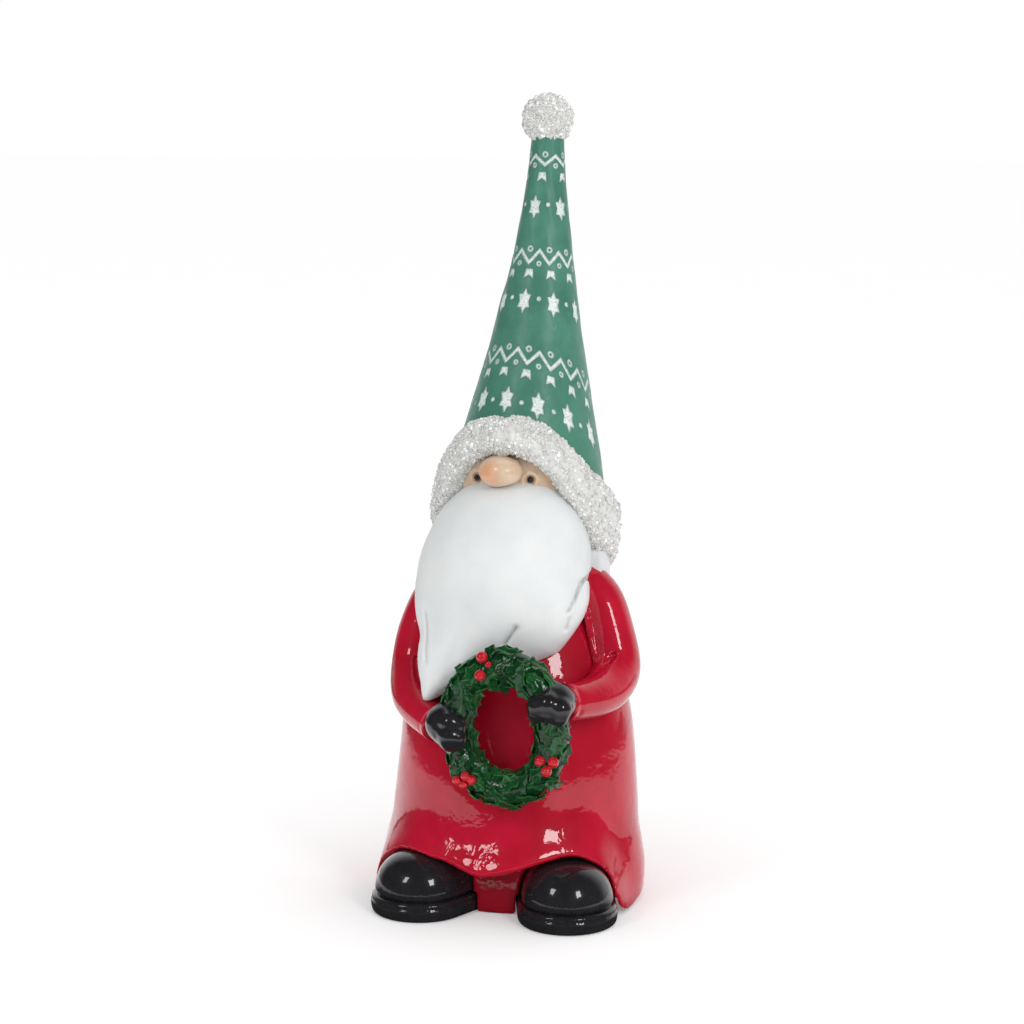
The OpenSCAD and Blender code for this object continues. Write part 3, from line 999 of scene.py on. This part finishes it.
def nape(p):
    """Hair that shows under the fur at the sides and the back."""
    hx, hy, hz = in_pose(HEAD, [p[0] + 2.9, p[1], p[2]])
    angle = np.arctan2(hx, -hy)
    rho = np.hypot(hx, hy / 0.97)
    strands = 0.55 * np.sin(angle * 46 + 1.4 * np.sin(p[2] / 6)) + 0.3 * np.sin(angle * 97 + p[2] / 5)
    d = rho - 40.6 - 0.03 * (165 - hz) + strands * 0.8
    d = mix_max(d, 152.8 - p[2] + 0.5 * np.sin(angle * 23), 2.2)
    return mix_max(mix_max(d, p[2] - 168, 3), 4 - p[1], 2)


def make_hair(white):
    low, high = [-54, -56, 94], [48, 22, 210]
    mass = cast("beard_cast", "beard", beard, low, high, 1.0, white)
    p = vertices_of(mass)
    dark = np.zeros(len(p[0]))
    # Painted shade, with antique wash, along the deep grooves on the front
    for path, wide, deep in BEARD_GROOVES:
        dark = np.maximum(dark, min(deep / FULL_GROOVE, 1) * bell(to_path(p, path), wide * 0.62))
    tag(mass, "groove", dark * (p[1] < 2))
    low, high = [-50, 0, 148], [54, 66, 172]
    back = cast("nape_hair_cast", "nape_hair", nape, low, high, 1.0, white)
    tag(back, "groove", np.zeros(len(back.data.vertices)))


# ---- hat

HAT_TIP = 361.0
HAT_COLUMNS, HAT_ROWS = 432, 350
HAT_WALL = 3.2
ENGRAVED = 0.55
hat_side = profile([
    (150, 42.5), (170, 40.5), (190, 38.2), (213, 34.3), (224, 31.8), (236, 28.9), (247, 26.3), (258.5, 23.4),
    (270, 20.8), (281, 18.7), (292, 16.3), (303.5, 14.1), (315, 12.4), (326, 10.8), (337, 9.4), (348, 8.4),
    (356, 7.8), (362, 7.4),
])


def seg_gap(u, v, a, b):
    """Distance to the line between two points in a plane."""
    run = (b[0] - a[0], b[1] - a[1])
    t = np.clip(((u - a[0]) * run[0] + (v - a[1]) * run[1]) / (run[0] ** 2 + run[1] ** 2), 0, 1)
    return np.hypot(u - a[0] - t * run[0], v - a[1] - t * run[1])


def polygon_gap(u, v, corners):
    """Signed distance to a closed outline, negative inside."""
    best = np.full(u.shape, 1e9)
    inside = np.zeros(u.shape, bool)
    for a, b in zip(corners, corners[1:] + corners[:1]):
        best = np.minimum(best, seg_gap(u, v, a, b))
        crosses = (a[1] > v) != (b[1] > v)
        span = (b[1] - a[1]) or 1e-9
        inside ^= crosses & (u < (b[0] - a[0]) * (v - a[1]) / span + a[0])
    return np.where(inside, -best, best)


def star(wide, tall):
    """Six-pointed star, longer up and down."""
    out = []
    for i in range(12):
        angle = math.pi / 6 * i
        size = 1.0 if i % 2 == 0 else 0.62
        out.append((size * wide * math.sin(angle), size * tall * math.cos(angle)))
    return out


PENNANT = [(-1.6, 1.9), (1.6, 1.9), (2.3, -2.2), (0.0, -0.7), (-2.3, -2.2)]


# Height on the front of the hat, slant, motif, count round the hat, size and turn of each row
BANDS = [
    (349.0, 0.00, "zigzag", 5, 4.2, 0.82),
    (341.4, 0.00, "pennant", 5, 0.98, 0.42),
    (327.6, 0.05, "star", 5, 0.92, 0.62),
    (304.2, 0.10, "zigzag", 9, 5.8, 0.20),
    (296.4, 0.12, "pennant", 9, 0.98, 0.62),
    (284.0, 0.20, "star", 8, 0.98, 0.62),
    (258.4, 0.40, "zigzag", 14, 6.0, 0.62),
    (250.6, 0.42, "pennant", 14, 1.0, 0.09),
    (237.4, 0.42, "star", 12, 1.02, 0.67),
]


def motif_field(angle, height, radius):
    """Distance to the nearest engraved line or shape, negative inside, over the unrolled hat."""
    field = np.full(angle.shape, 9.0)
    for level, tilt, kind, count, size, turn in BANDS:
        v = height - (level + tilt * radius * (np.cos(angle + 0.2) - 1))
        pitch = 2 * math.pi / count
        phase = np.mod(angle / pitch + turn, 1.0)
        cell = np.floor(angle / pitch + turn)
        jitter = np.sin(cell * 12.9 + level) * 0.5
        u = (phase - 0.5) * pitch * radius
        half = pitch * radius / 2
        near = np.abs(v) < 10
        if kind == "zigzag":
            rise = size / 2
            slope = 2 * rise / np.maximum(half, 1)
            line = np.abs(v - (rise - np.abs(u) * slope)) / np.sqrt(1 + slope**2) - 0.68
            up = np.hypot(np.abs(u) - half, v - rise - 0.6)
            low = np.hypot(u, v + rise + 0.3)
            ring_up = np.abs(up - 1.05) - 0.36
            ring_low = np.abs(low - 0.85) - 0.34
            gap = np.minimum(line, np.minimum(ring_up, ring_low))
        elif kind == "pennant":
            gap = polygon_gap(u / size, v / size, PENNANT) * size
        else:
            gap = polygon_gap(u / size, (v + jitter) / size, star(3.4, 5.9)) * size
            dot = np.hypot(np.abs(u) - half, v - 0.5 - jitter) - 0.95
            gap = np.minimum(gap, dot)
        field = np.where(near, np.minimum(field, gap), field)
    return field


hat_sway = profile([(140, -3), (179, -2.9), (224, -2.4), (258, -0.6), (281, 0), (303, 0.6), (370, 0.6)])


def hat_place(points):
    """Row-frame place of points in the hat's axes, with the hat's slight bend."""
    world = points @ HEAD
    world[:, 0] += hat_sway(points[:, 2])
    return world


def hat_start(angle):
    """Height where the cone begins, inside the fur."""
    return (brim_low(np.abs(angle)) + brim_high(np.abs(angle))) / 2


def make_hat(green):
    columns, count = HAT_COLUMNS, HAT_ROWS
    ring = np.linspace(-math.pi, math.pi, columns, endpoint=False)
    angle, share = np.meshgrid(ring, np.linspace(0, 1, count))
    height = hat_start(angle) + (HAT_TIP - hat_start(angle)) * share
    radius = hat_side(height)
    field = motif_field(angle, height, radius)
    soft = np.clip(0.5 - field / 0.55, 0, 1)
    wobble = 0.5 * np.sin(2 * angle + height / 31) + 0.35 * np.sin(3 * angle - height / 19 + 1)
    scuff = 0.10 * np.sin(angle * 9 + height / 4.3) * np.sin(height / 7.1 + angle * 4)
    out = radius + wobble * np.clip(radius / 26, 0.2, 1) + scuff - ENGRAVED * soft
    outer = polar(out, angle, height).reshape(-1, 3)
    inner = []
    for share_in in (0.97, 0.6, 0.25, 0.0):
        h = hat_start(ring) + (HAT_TIP - hat_start(ring)) * share_in
        r = np.maximum(hat_side(h) - HAT_WALL, 2.0)
        inner.append(polar(r, ring, h))
    verts = np.concatenate([outer, *inner])
    i = np.arange(columns)
    j = (i + 1) % columns
    faces = []
    rows = count + len(inner)
    for a, b in [(k, (k + 1) % rows) for k in range(rows)]:
        if a != count - 1:
            a, b = a * columns, b * columns
            faces.append(np.stack([a + i, a + j, b + j, b + i], -1))
    lid = len(verts)
    verts = np.concatenate([verts, [[0, 0, HAT_TIP]], [[0, 0, inner[0][0][2]]]])
    obj = make_mesh("hat_cone_cast", hat_place(verts), np.concatenate(faces), green)
    add_fan(obj, (count - 1) * columns + i, (count - 1) * columns + j, lid)
    add_fan(obj, count * columns + j, count * columns + i, lid + 1)
    rest = np.zeros(len(verts) - soft.size)
    # Painted shade just outside the edge of each motif
    rim = bell(np.maximum(field, 0), 0.7).ravel() * (1 - soft.ravel())
    tag(obj, "paint", np.concatenate([soft.ravel(), rest]))
    tag(obj, "rim", np.concatenate([rim, rest]))
    finish_piece(obj, "hat_cone")


def add_fan(obj, first, second, hub):
    """Closes a ring of vertices with triangles round a hub."""
    mesh = obj.data
    loops, polys = len(mesh.loops), len(mesh.polygons)
    tris = np.stack([first, second, np.full(len(first), hub)], -1)
    mesh.loops.add(tris.size)
    index = np.zeros(len(mesh.loops), np.int32)
    mesh.loops.foreach_get("vertex_index", index)
    index[loops:] = tris.ravel()
    mesh.loops.foreach_set("vertex_index", index)
    mesh.polygons.add(len(tris))
    start = np.zeros(len(mesh.polygons), np.int32)
    mesh.polygons.foreach_get("loop_start", start)
    start[polys:] = loops + 3 * np.arange(len(tris))
    mesh.polygons.foreach_set("loop_start", start)
    mesh.update(calc_edges=True)
    mesh.polygons.foreach_set("use_smooth", np.full(len(mesh.polygons), True))


# ---- grit


# A grain is an icosahedron of radius 1 before it is squashed and sized
GOLD = (1 + 5**0.5) / 2
SHARD = np.array([
    [-1, GOLD, 0], [1, GOLD, 0], [-1, -GOLD, 0], [1, -GOLD, 0], [0, -1, GOLD], [0, 1, GOLD],
    [0, -1, -GOLD], [0, 1, -GOLD], [GOLD, 0, -1], [GOLD, 0, 1], [-GOLD, 0, -1], [-GOLD, 0, 1],
]) / math.hypot(1, GOLD)
SHARD_FACES = np.array([
    [0, 11, 5], [0, 5, 1], [0, 1, 7], [0, 7, 10], [0, 10, 11], [1, 5, 9], [5, 11, 4], [11, 10, 2],
    [10, 7, 6], [7, 1, 8], [3, 9, 4], [3, 4, 2], [3, 2, 6], [3, 6, 8], [3, 8, 9], [4, 9, 5],
    [2, 4, 11], [6, 2, 10], [8, 6, 7], [9, 8, 1],
])


def scatter(name, seats, normals, size, material, rng):
    """One mesh of faceted grains set into a surface."""
    count = len(seats)
    scale = size * rng.lognormal(0, 0.28, (count, 1, 1)) * rng.uniform(0.65, 1.15, (count, 1, 3))
    w, x, y, z = unit(rng.normal(size=(count, 4))).T
    turn = np.array([
        [1 - 2 * (y * y + z * z), 2 * (x * y - z * w), 2 * (x * z + y * w)],
        [2 * (x * y + z * w), 1 - 2 * (x * x + z * z), 2 * (y * z - x * w)],
        [2 * (x * z - y * w), 2 * (y * z + x * w), 1 - 2 * (x * x + y * y)],
    ]).transpose(2, 0, 1)
    grains = np.einsum("nij,nvj->nvi", turn, SHARD[None] * scale)
    lift = rng.uniform(-0.25, 0.45, (count, 1)) * size
    verts = grains + (seats + normals * lift)[:, None, :]
    faces = (SHARD_FACES[None] + len(SHARD) * np.arange(count)[:, None, None]).reshape(-1, 3)
    obj = make_mesh(name, verts.reshape(-1, 3), faces, material, smooth=False)
    tag(obj, "grain", np.repeat(rng.uniform(0, 1, count), len(SHARD)))
    return obj


BRIM_GRAINS, BRIM_GRAIN = 9000, 0.66
POMPOM_R, POMPOM_GRAINS, POMPOM_GRAIN = 11.5, 1700, 0.68


def lumpy(points, seed):
    """Soft random relief for a place given in millimetres."""
    total = np.zeros(len(points))
    rng = np.random.default_rng(seed)
    for size, deep in ((11, 0.45), (5.5, 0.4), (3.0, 0.3)):
        for _ in range(4):
            way = unit(rng.normal(size=3))
            total += deep * np.sin(points @ way * 2 * math.pi / size + rng.uniform(0, 6.28)) / 2
    return total


def brim_surface(angle, ring):
    """Points on the lumpy fur roll in head axes, and their directions out of it."""
    low, high = brim_low(np.abs(angle)), brim_high(np.abs(angle))
    mid, half = (low + high) / 2, (high - low) / 2 + 0.6
    thick = 6.4 + 1.2 * smooth_step(np.abs(angle), 0.4, 1.6)
    power = 0.78
    up = np.sign(np.sin(ring)) * np.abs(np.sin(ring)) ** power
    out = np.sign(np.cos(ring)) * np.abs(np.cos(ring)) ** power
    height = mid + half * up
    radius = brim_spine(height) + thick * out
    place = polar(radius, angle, height)
    way = unit(place - polar(brim_spine(mid), angle, mid))
    return place + way * lumpy(place, 5)[:, None], way


def make_brim(grit, rng):
    columns, around = 300, 44
    angle, ring = np.meshgrid(
        np.linspace(-math.pi, math.pi, columns, endpoint=False),
        np.linspace(0, 2 * math.pi, around, endpoint=False),
    )
    world = hat_place(brim_surface(angle.ravel(), ring.ravel())[0])
    i, j = np.meshgrid(np.arange(columns), np.arange(around))
    i2, j2 = (i + 1) % columns, (j + 1) % around
    faces = np.stack([j * columns + i, j * columns + i2, j2 * columns + i2, j2 * columns + i], -1)
    base = make_mesh("hat_brim_cast", world, faces.reshape(-1, 4), grit)
    tag(base, "grain", np.full(len(world), 0.5))
    finish_piece(base, "hat_brim")
    angle = rng.uniform(-math.pi, math.pi, BRIM_GRAINS)
    ring = rng.uniform(-1.9, 1.9, BRIM_GRAINS)
    seats, way = brim_surface(angle, ring)
    grains = scatter("hat_brim_grit", hat_place(seats), way @ HEAD, BRIM_GRAIN, grit, rng)
    finish_piece(grains, "hat_brim")


def make_pompom(grit, rng):
    def ball(p):
        d = ball_gap(p, TOP, POMPOM_R)
        flat = np.stack([np.broadcast_to(q, d.shape).ravel() for q in p], -1)
        return d - 0.55 * lumpy(flat, 9).reshape(d.shape)

    base = cast("pompom_cast", "pompom", ball, TOP - 15, TOP + 15, 0.8, grit, 3)
    tag(base, "grain", np.full(len(base.data.vertices), 0.5))
    way = unit(rng.normal(size=(POMPOM_GRAINS, 3)))
    seats = TOP + way * POMPOM_R
    seats = seats + way * (0.55 * lumpy(seats, 9))[:, None]
    grains = scatter("pompom_grit", seats, way, POMPOM_GRAIN, grit, rng)
    finish_piece(grains, "pompom")


# ---- holly wreath


def leaf_mesh(length, wide, curl, cup, rng):
    """Vertices, quads and edge wash of a spiny holly leaf that lies along +X."""
    along, across = 30, 8
    spines, thick = 2.5, 0.75
    u = np.linspace(0, 1, along + 1)
    wave = np.abs(np.sin(math.pi * spines * u)) ** 0.8
    half = wide * np.sin(math.pi * np.clip(u, 0.0, 1) ** 0.85) ** 0.6 * (1.25 - 0.52 * wave)
    half = np.maximum(half, 0.25)
    v = np.linspace(-1, 1, across + 1)
    uu, vv = np.meshgrid(u, v, indexing="ij")
    x = length * uu
    y = half[:, None] * vv
    z = cup * (vv**2) * half[:, None] / wide - 0.45 * bell(vv, 0.16)
    z = z + 0.5 * (1 - wave[:, None]) * np.abs(vv) ** 3 * rng.uniform(0.6, 1.4)
    z = z - curl * length * uu**2
    z = z + 0.22 * np.cos(math.pi * 7 * uu - 2.2 * np.abs(vv)) * np.abs(vv) * (1 - np.abs(vv))
    top = np.stack([x, y, z], -1).reshape(-1, 3)
    under = top - [0, 0, thick]
    verts = np.concatenate([top, under])
    width = across + 1
    total = len(top)
    faces = []
    for i in range(along):
        for j in range(across):
            a = i * width + j
            faces.append([a, a + width, a + width + 1, a + 1])
            faces.append([a + 1 + total, a + width + 1 + total, a + width + total, a + total])
    rim = [i * width for i in range(along + 1)]
    rim += [along * width + j for j in range(1, width)]
    rim += [i * width + across for i in range(along - 1, -1, -1)]
    rim += [j for j in range(across - 1, 0, -1)]
    for a, b in zip(rim, rim[1:] + rim[:1]):
        faces.append([b, a, a + total, b + total])
    wash = np.clip(np.abs(vv) ** 3 + 0.4 * bell(vv, 0.12), 0, 1).ravel()
    return verts, np.array(faces), np.concatenate([wash, wash])


# Centre and radius of the room that the leaves leave for each mitten
MITTEN_SPACE = [(np.array([-15.5, -61, 92.0]), 8.5), (np.array([31.0, -66, 108.5]), 9.5)]
# Rows of leaves: angle round the tube in degrees, and leaves round the ring
LEAF_ROWS = [(-75, 13), (-35, 16), (3, 18), (40, 19), (78, 18), (122, 15), (-122, 11), (180, 12)]
# Places and radii of the berries of each cluster
BERRIES = {
    "top_berries": (
        [(-0.2, -63.0, 129.0), (-0.6, -65.0, 121.0), (2.6, -62.4, 125.6)],
        (2.6, 2.5, 1.5),
    ),
    "right_berries": (
        [(-12.6, -60.5, 70.2), (-8.4, -62.0, 72.8), (-5.6, -61.5, 71.2), (-9.3, -61.0, 68.6)],
        (2.2, 2.2, 2.3, 2.0),
    ),
    "left_berries": (
        [(27.6, -66.5, 83.4), (33.8, -67.0, 83.4), (31.0, -68.5, 79.4)],
        (2.6, 2.6, 2.5),
    ),
}


def clear_of_mittens(seat):
    return all(np.linalg.norm(seat - c) > r for c, r in MITTEN_SPACE)


def berry_gap(p, places, sizes):
    """Distance to the nearest berry, each with a dimple at its front."""
    best = None
    for place, size in zip(places, sizes):
        dimple = ball_gap(p, (place[0], place[1] - size, place[2]), 0)
        d = ball_gap(p, place, size) + 0.35 * bell(dimple, 0.6)
        best = d if best is None else np.minimum(best, d)
    return best


def make_wreath(holly, berry, rng):
    room = np.array([36, 26, 42])
    core = cast(
        "wreath_core", "wreath_ring",
        lambda p: ring_gap(p) + 0.8, WREATH - room, WREATH + room, 1.1, holly, 2,
    )
    tag(core, "wash", np.zeros(len(core.data.vertices)))
    # Painted shade: the core, seen only in the gaps between the leaves, takes the darkest tone
    tag(core, "tone", np.ones(len(core.data.vertices)))
    parts, quads, washes, tones = [], [], [], []
    total = 0
    for row, (tilt, count) in enumerate(LEAF_ROWS):
        behind = abs(tilt) > 100
        for k in range(count):
            angle = 2 * math.pi * (k + 0.5 * (row % 2) + rng.uniform(-0.22, 0.22)) / count
            tube = math.radians(tilt + rng.uniform(-9, 9))
            sunk = 1.4 if behind else 0.5
            seat = on_ring(angle, tube, TUBE_R - sunk + 0.7 * rng.uniform(-0.5, 1))
            if not clear_of_mittens(seat):
                continue
            normal, run, across = ring_axes(angle, tube)
            length = rng.uniform(11.5, 15.0) * (0.78 if behind else 1.0)
            wide, curl, cup = rng.uniform(2.7, 3.9), rng.uniform(0.14, 0.32), rng.uniform(-1.4, 1.5)
            verts, faces, wash = leaf_mesh(length, wide, curl, cup, rng)
            heading = rng.normal(0, 0.25 if behind else 0.6)
            heading += 0.0 if rng.uniform() < 0.75 else 2.6
            rear = math.cos(heading) * run + math.sin(heading) * across
            side = np.cross(normal, rear)
            lift = rng.uniform(-0.05, 0.08) if behind else rng.uniform(0.06, 0.42)
            forward = rear * math.cos(lift) + normal * math.sin(lift)
            upward = np.cross(forward, side)
            axes = np.array([forward, side, upward])
            verts = seat + (verts - [length * 0.42, 0, -0.4]) @ axes
            parts.append(verts)
            quads.append(faces + total)
            washes.append(wash)
            tones.append(np.full(len(verts), rng.uniform(0, 1)))
            total += len(verts)
    leaves = make_mesh("holly_leaf_cluster", np.concatenate(parts), np.concatenate(quads), holly)
    tag(leaves, "wash", np.concatenate(washes))
    tag(leaves, "tone", np.concatenate(tones))
    finish_piece(leaves, "holly_leaves")
    for name, (places, sizes) in BERRIES.items():
        box = np.array(places)
        cast(
            name.replace("_berries", "_berry_cluster"), name,
            lambda p: berry_gap(p, places, sizes), box.min(0) - 4, box.max(0) + 4, 0.35, berry, 3,
        )


# ---- hidden pieces that keep their CAD shape


def dress_cad(materials):
    kept = {
        "neck_dowel": "wood", "right_arm_dowel": "wood", "left_arm_dowel": "wood",
        "right_boot_peg": "wood", "left_boot_peg": "wood", "beard_peg": "wood",
        "right_wrist_pin": "steel", "left_wrist_pin": "steel", "pompom_pin": "steel",
    }
    for node, kind in kept.items():
        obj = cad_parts[node]
        for s in obj.material_slots:
            s.material = materials[kind]


# ---- camera, floor and light


# Degrees round to the figure's left and up, then metres
VIEW_AZIMUTH, VIEW_RISE = 14, 9.5
VIEW_DISTANCE, VIEW_HEIGHT, VIEW_SHIFT = 1.2, 0.185, 0.00188


def make_camera():
    azimuth, rise = math.radians(VIEW_AZIMUTH), math.radians(VIEW_RISE)
    ca, sa, ce, se = math.cos(azimuth), math.sin(azimuth), math.cos(rise), math.sin(rise)
    back = Vector((sa * ce, -ca * ce, se))
    right = Vector((ca, sa, 0))
    up = Vector((-sa * se, ca * se, ce))
    target = Vector((0, 0, VIEW_HEIGHT)) - right * VIEW_SHIFT
    data = bpy.data.cameras.new("view")
    data.lens = 89.76
    data.sensor_width = 36
    data.clip_start, data.clip_end = 0.05, 50
    cam = bpy.data.objects.new("view", data)
    bpy.context.scene.collection.objects.link(cam)
    spot = target + back * VIEW_DISTANCE
    cam.matrix_world = Matrix((
        (right.x, up.x, back.x, spot.x),
        (right.y, up.y, back.y, spot.y),
        (right.z, up.z, back.z, spot.z),
        (0, 0, 0, 1),
    ))
    bpy.context.scene.camera = cam


def soft_box(name, place, wide, tall, power):
    """Rectangular light aimed at the figure's middle."""
    data = bpy.data.lights.new(name, "AREA")
    data.shape = "RECTANGLE"
    data.size, data.size_y = wide, tall
    data.energy = power
    lamp = bpy.data.objects.new(name, data)
    bpy.context.scene.collection.objects.link(lamp)
    lamp.location = place
    way = Vector((0, 0, 0.16)) - Vector(place)
    lamp.rotation_euler = way.to_track_quat("-Z", "Y").to_euler()


# Strength of the soft light from the figure's right and from its left
DIM_SIDE, BRIGHT_SIDE = 0.58, 1.02


def make_stage(floor_paint):
    mesh = bpy.data.meshes.new("floor")
    near, half, far = -0.42, 0.55, 12.0
    sheet = [(-half, near, 0), (half, near, 0), (far, far, 0), (-far, far, 0)]
    mesh.from_pydata(sheet, [], [(0, 1, 2, 3)])
    floor = bpy.data.objects.new("floor", mesh)
    bpy.context.scene.collection.objects.link(floor)
    mesh.materials.append(floor_paint)
    soft_box("key_box", (-0.75, -1.25, 1.05), 0.34, 0.48, 4.4)
    soft_box("fill_box", (1.05, -1.05, 0.90), 0.32, 0.46, 5.6)
    world = bpy.data.worlds.new("studio")
    world.use_nodes = True
    tree = world.node_tree
    tree.nodes.clear()

    def node(kind, **settings):
        n = tree.nodes.new(kind)
        for key, value in settings.items():
            setattr(n, key, value)
        return n

    def glow(strength):
        n = node("ShaderNodeBackground")
        n.inputs["Color"].default_value = (1, 1, 1, 1)
        n.inputs["Strength"].default_value = strength
        return n.outputs[0]

    def choose(factor, a, b):
        n = node("ShaderNodeMixShader")
        for source, target in ((factor, n.inputs[0]), (a, n.inputs[1]), (b, n.inputs[2])):
            tree.links.new(source, target)
        return n.outputs[0]

    def ramp(source, low, high):
        n = node("ShaderNodeMapRange", clamp=True, interpolation_type="SMOOTHSTEP")
        n.inputs["From Min"].default_value = low
        n.inputs["From Max"].default_value = high
        tree.links.new(source, n.inputs["Value"])
        return n.outputs[0]

    path = node("ShaderNodeLightPath")
    way = node("ShaderNodeSeparateXYZ")
    tree.links.new(node("ShaderNodeTexCoord").outputs["Generated"], way.inputs[0])
    # Mirror reflections see a dim room in front and white paper behind
    room = choose(ramp(way.outputs["Y"], 0.25, 0.75), glow(0.025), glow(1.0))
    soft = choose(ramp(way.outputs["X"], -1.0, 1.0), glow(DIM_SIDE), glow(BRIGHT_SIDE))
    seen = choose(path.outputs["Is Glossy Ray"], soft, room)
    seen = choose(path.outputs["Is Camera Ray"], seen, glow(1.0))
    tree.links.new(seen, node("ShaderNodeOutputWorld").inputs[0])
    bpy.context.scene.world = world
    bpy.context.scene.view_settings.view_transform = "Standard"


# ---- build

make_camera()
make_stage(make_floor())
red, black, white, green = make_red(), make_black(), make_white(), make_green()
grit, skin, holly, berry = make_grit(), make_skin(NOSE + [-4.5, -7, 0]), make_holly(), make_berry()
dress_cad({"wood": make_wood(), "steel": make_steel()})
make_boots(black)
make_robe(red)
make_base(make_resin())
make_sleeves(red)
make_mittens(black)
make_face(skin, black)
make_hair(white)
make_hat(green)
make_brim(grit, np.random.default_rng(11))
make_pompom(grit, np.random.default_rng(12))
make_wreath(holly, berry, np.random.default_rng(13))
